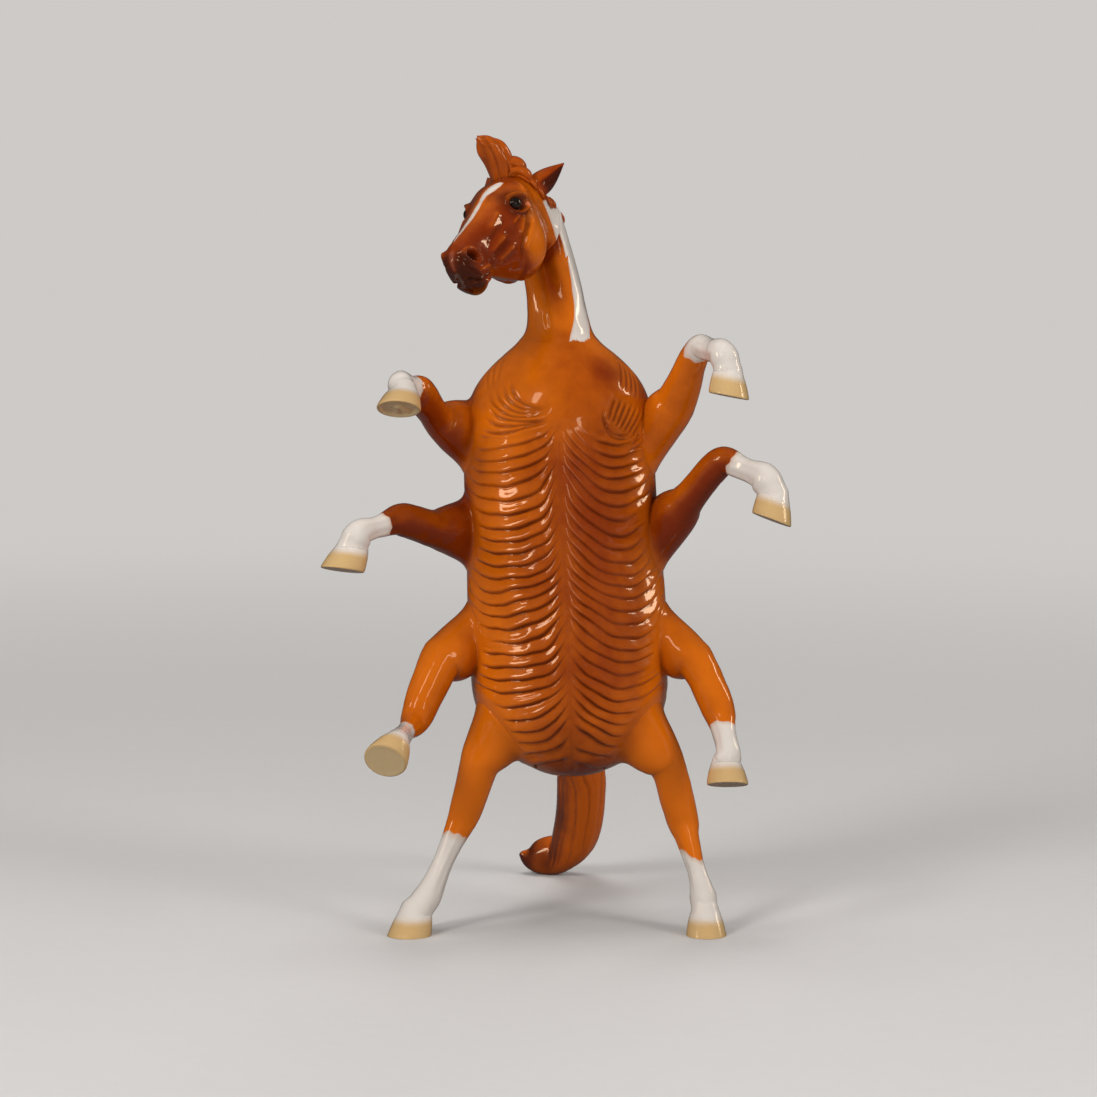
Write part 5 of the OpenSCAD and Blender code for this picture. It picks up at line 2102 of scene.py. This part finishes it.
# Aside and back as shares of the reach, height as a share, width and thickness as shares of the width
TAIL_SHARES = np.array(
    [
        [0.040, 0.334, 1.00, 0.78, 0.80],
        [0.055, 0.46, 0.90, 0.84, 0.78],
        [0.072, 0.58, 0.72, 0.95, 0.76],
        [0.086, 0.69, 0.52, 1.02, 0.76],
        [0.084, 0.79, 0.34, 1.02, 0.76],
        [0.062, 0.885, 0.19, 0.98, 0.76],
        [0.010, 0.955, 0.08, 0.86, 0.90],
        [-0.070, 0.985, 0.065, 0.70, 0.82],
        [-0.135, 0.99, 0.065, 0.52, 0.58],
        [-0.175, 0.985, 0.100, 0.10, 0.10],
    ]
)


@dataclass
class Tail:
    """The tail, which falls to the ground and carries the model."""

    barrel: Barrel
    reach: float = 35.0
    height: float = 11.0
    width: float = 7.2
    sole_cut: float = 0.3
    tuck: float = 0.16
    root_share: float = 0.46
    root_flare: float = 0.35
    seat_end: float = 0.96
    grooves: int = 9
    groove_depth: float = 0.15
    fine_depth: float = 0.06
    end_row: float = 6.8
    low: float = 9.0
    look: float = 0.35
    smoothed: int = 170
    smooth_from: int = 60
    sides: int = 110
    steps: int = 170

    def centre(self, s: Points) -> Points:
        """The tail's middle line.

        Args:
            s: Rows of its table.

        Returns:
            The middle at each.
        """
        b = self.barrel
        h = np.maximum(s[..., 2] * (b.lift + self.height), s[..., 4] * self.width / 2 - self.sole_cut / 2)
        return np.stack([b.foot_x + s[..., 0] * self.reach, b.foot_y + s[..., 1] * self.reach, h], axis=-1)

    def plain(self, u: Points) -> Points:
        """The ungrooved tail, from its root on the barrel.

        Args:
            u: Row numbers.

        Returns:
            A ring for each row.
        """
        last = len(TAIL_SHARES) - 1
        s = along(TAIL_SHARES, u)
        c = self.centre(s) - np.array([0, self.tuck, 0]) * rises(u, 2, 3)[:, None]
        ahead = self.centre(along(TAIL_SHARES, np.minimum(u + self.look, last)))
        behind = self.centre(along(TAIL_SHARES, np.maximum(u - self.look, 0)))
        way = unit(ahead - behind)
        broad, back = np.array([1, -0.25, 0.1]), np.array([0, 1.0, 0])
        across = unit(broad - way * (way @ broad)[:, None])
        across = unit(mix(across, back - way * way[:, 1:2], rises(u, 5, 2.5)[:, None]))
        turn, half = turns(self.sides), self.width / 2
        x, y = np.cos(turn) * s[:, 3:4] * half, np.sin(turn) * s[:, 4:5] * half
        rings = rings_about(c, across, np.cross(way, across), x, y)
        j = self.barrel.join(180, self.height)
        w = spokes(rings[0], j.middle, j.round, j.rise)
        flare = 1 + self.root_flare * np.maximum(0, 1 - u / 0.6) ** 2
        spread = (j.round * w[None, :, 0:1] + j.rise * w[None, :, 1:2]) * self.width * self.root_share
        seat = self.barrel.pressed(j.middle + flare[:, None, None] * spread, seated(u, 0.2))
        row = u[:, None, None]
        return np.where(row < self.seat_end, mix(seat, rings, ease(row / self.seat_end)), rings)

    def skin(self) -> Skin:
        """The tail, grooved into strands.

        Returns:
            Its skin with its paint fields.
        """
        u = np.linspace(0, len(TAIL_SHARES) - 1, self.steps)
        rings = self.plain(u)
        run, turn = np.meshgrid(u, turns(self.sides), indexing="ij")
        twist = self.grooves * turn + 0.55 * run + 0.9 * np.sin(0.9 * run + 2 * turn)
        twist = twist + 1.3 * wander(rings * np.array([1, 1, 0.45]), 7.0, 51)
        end = falls(run, self.end_row, 2.4)
        groove = bell(np.sin(twist / 2), 0.33) * rises(run, 0.4, 1.2) * end
        fine = bell(np.sin(twist * 1.5 + 0.7), 0.4) * rises(run, 0.8, 1.2) * end
        skin = Skin(rings)
        skin.swell(-self.groove_depth * groove - self.fine_depth * fine + 0.10 * wander(rings, 5.0, 52))
        rows, k = skin.rings, self.smooth_from
        for _ in range(self.smoothed):
            rows[k:-1] = (rows[k - 1:-2] + 2 * rows[k:-1] + rows[k + 1:]) / 4
        rows[..., 2] = np.maximum(rows[..., 2], 0.0)
        # Painted shade: darker and sootier on the side turned left and low down, and in the grooves between
        # strands.
        low = falls(rows[..., 2], self.low, self.low)
        left = rises(-skin.normals()[..., 0], -0.1, 1.0)
        skin.fields = {
            "groove": np.clip(0.36 * groove + 0.24 * fine, 0, 1),
            "shade": np.clip(0.02 + 0.65 * left + 0.30 * low, 0, 1),
            "soot_and_shade": np.clip(0.64 * left * rises(run, 1.5, 3) + 0.25 * low * rises(run, 5, 2), 0, 1),
        }
        return skin


# The studio


class Reach(Enum):
    """What a lamp reaches: the paint and not the gloss, or the gloss alone, as a warm card."""

    PAINT = "paint"
    GLOSS = "gloss"


@dataclass(frozen=True)
class Lamp:
    """One soft lamp: where it hangs, the width of its face, its power, and its height in widths."""

    name: str
    place: tuple[float, float, float]
    size: float
    watts: float
    tall: float = 1.0
    reach: Reach = Reach.PAINT
    aim_height: float = 55.0
    warm: Colour = (255, 226, 190)

    def hang(self) -> None:
        """Hangs it, looking at the model's middle."""
        data = bpy.data.lights.new(self.name, "AREA")
        data.shape = "RECTANGLE"
        data.size, data.size_y, data.energy = self.size * MM, self.size * self.tall * MM, self.watts
        lamp = bpy.data.objects.new(self.name, data)
        lamp.location = [c * MM for c in self.place]
        way = np.array([0, 0, self.aim_height]) - np.array(self.place)
        lamp.rotation_euler = Vector(way).to_track_quat("-Z", "Y").to_euler()
        lamp.visible_glossy = self.reach is Reach.GLOSS
        lamp.visible_diffuse = self.reach is Reach.PAINT
        if self.reach is Reach.GLOSS:
            data.color = paint(*self.warm)[:3]
        bpy.context.scene.collection.objects.link(lamp)


LAMPS = (
    Lamp("left_softbox", (-330, -400, 380), 150, 1.40, 1.2),
    Lamp("right_softbox", (420, -300, 260), 150, 0.95, 1.4),
    Lamp("top_softbox", (-40, 20, 540), 240, 0.9),
    Lamp("front_softbox", (40, -600, 90), 260, 0.95),
    Lamp("back_softbox", (120, 520, 300), 200, 0.45),
    Lamp("left_fill", (-480, -230, 110), 160, 0.60, 1.2),
    Lamp("right_fill", (500, -160, 120), 160, 0.38, 1.2),
    Lamp("left_card", (-560, -250, 310), 74, 0.62, 3.2, Reach.GLOSS),
    Lamp("right_card", (410, 80, 260), 50, 0.26, 3.0, Reach.GLOSS),
    Lamp("high_card", (-250, -460, 400), 60, 0.17, 2.4, Reach.GLOSS),
    Lamp("front_card", (225, -575, 190), 46, 0.20, 5.0, Reach.GLOSS),
)


@dataclass
class Studio:
    """Paper, lamps and camera."""

    away: float = 650.0
    eye_height: float = 139.5
    focal_px: float = 4650.0
    frame_px: float = 1097.0
    sensor: float = 36.0
    pitch: float = 0.12858
    aim_x: float = -1.001
    stand_y: float = -16.47
    paper_wide: float = 1500.0
    paper_front: float = 900.0
    paper_deep: float = 700.0
    paper_bend: float = 250.0
    paper_tall: float = 900.0
    paper_drop: float = 0.02
    surround: Colour = (214, 213, 212)
    surround_strength: float = 0.27
    mirrored: Colour = (150, 148, 148)
    mirrored_strength: float = 0.24

    def camera(self) -> None:
        """Sets the camera where the photograph was taken from."""
        data = bpy.data.cameras.new("portrait")
        data.sensor_width = self.sensor
        data.lens = self.sensor * self.focal_px / self.frame_px
        data.clip_start, data.clip_end = 0.01, 20.0
        camera = bpy.data.objects.new("portrait", data)
        camera.location = (self.aim_x * MM, (self.stand_y - self.away) * MM, self.eye_height * MM)
        camera.rotation_euler = (math.pi / 2 - self.pitch, 0, 0)
        bpy.context.scene.collection.objects.link(camera)
        bpy.context.scene.camera = camera

    def paper(self) -> None:
        """Lays the floor and its sweep up behind."""
        deep, bend, drop = self.paper_deep, self.paper_bend, self.paper_drop
        turn = np.linspace(0, np.pi / 2, 16)
        sweep = [(deep + bend * math.sin(a), bend * (1 - math.cos(a)) - drop) for a in turn]
        line = [(-self.paper_front, -drop), *sweep, (deep + bend, self.paper_tall)]
        points = [(x * MM, y * MM, z * MM) for x in (-self.paper_wide, self.paper_wide) for y, z in line]
        n = len(line)
        mesh = bpy.data.meshes.new("paper")
        mesh.from_pydata(points, [], [(k, k + n, k + n + 1, k + 1) for k in range(n - 1)])
        mesh.polygons.foreach_set("use_smooth", np.ones(len(mesh.polygons), bool))
        mesh.materials.append(StudioPaper().material("studio_paper"))
        floor = bpy.data.objects.new("paper", mesh)
        bpy.context.scene.collection.objects.link(floor)

    def world(self) -> None:
        """A soft even surround, darker where the gloss mirrors it, and the paper's far tone behind."""
        world = bpy.data.worlds.new("surround")
        bpy.context.scene.world = world
        world.use_nodes = True
        tree = world.node_tree
        path = tree.nodes.new("ShaderNodeLightPath")
        sheet = tree.nodes["Background"]
        sheet.inputs["Color"].default_value = paint(*self.surround)
        sheet.inputs["Strength"].default_value = self.surround_strength
        socket = sheet.outputs[0]
        others = (
            ("Is Glossy Ray", self.mirrored, self.mirrored_strength),
            ("Is Camera Ray", StudioPaper().far, 1.0),
        )
        for ray, tone, strength in others:
            other = tree.nodes.new("ShaderNodeBackground")
            other.inputs["Color"].default_value = paint(*tone)
            other.inputs["Strength"].default_value = strength
            either = tree.nodes.new("ShaderNodeMixShader")
            tree.links.new(path.outputs[ray], either.inputs[0])
            tree.links.new(socket, either.inputs[1])
            tree.links.new(other.outputs[0], either.inputs[2])
            socket = either.outputs[0]
        tree.links.new(socket, tree.nodes["World Output"].inputs["Surface"])

    def build(self) -> None:
        """Sets up the whole studio."""
        self.camera()
        self.world()
        self.paper()
        for lamp in LAMPS:
            lamp.hang()
        bpy.context.scene.view_settings.view_transform = "Standard"


def main() -> None:
    """Builds the model and its studio, and reports each piece."""
    logging.basicConfig(level=logging.INFO, format="%(name)s: %(message)s")
    Studio().build()
    coat = GlossPaint().material("gloss_paint")
    hair_coat = GlossPaint(light=(206, 95, 10), deep=(108, 36, 4), groove_shade=(66, 20, 3)).material("hair_paint")
    glaze = EyePaint().material("eye_glaze")
    wire = DrawnWire().material("drawn_wire")
    barrel = Barrel()
    legs = [Leg(barrel, pose) for pose in POSES]
    head = Head(barrel)
    roots = [(leg.join(), leg.pose.dark) for leg in legs]
    neck = Neck(barrel, head, roots)
    hair = Hair(head, neck)
    show([barrel.skin(roots)], "barrel_coat", coat, ["barrel"])
    for leg in legs:
        show([leg.skin()], f"{leg.pose.name}_coat", coat, [f"{leg.pose.name}_leg"])
    show([head.skin()], "head_coat", coat, ["head"])
    show([neck.skin()], "neck_coat", coat, ["neck"])
    show([Ear(head, 12.6, -54, (-0.30, 0.8, 0.45)).skin()], "left_ear_coat", coat, ["left_ear"])
    show([Ear(head, 14.0, 42, (0.74, 0.2, 0.64)).skin()], "right_ear_coat", coat, ["right_ear"])
    show([Eye(head, 1).skin()], "near_eye", glaze)
    show([Eye(head, -1).skin()], "far_eye", glaze)
    show(hair.tuft(), "forelock_coat", hair_coat, ["forelock"])
    show(hair.mane(), "mane_coat", hair_coat, ["mane"])
    show([Tail(barrel).skin()], "tail_coat", hair_coat, ["tail"])
    for name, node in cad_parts.items():
        if name.endswith(("_pin", "_dowel")):
            node.data.materials.clear()
            node.data.materials.append(wire)
            LOG.info("%s: steel", name)


if __name__ == "__main__":
    main()
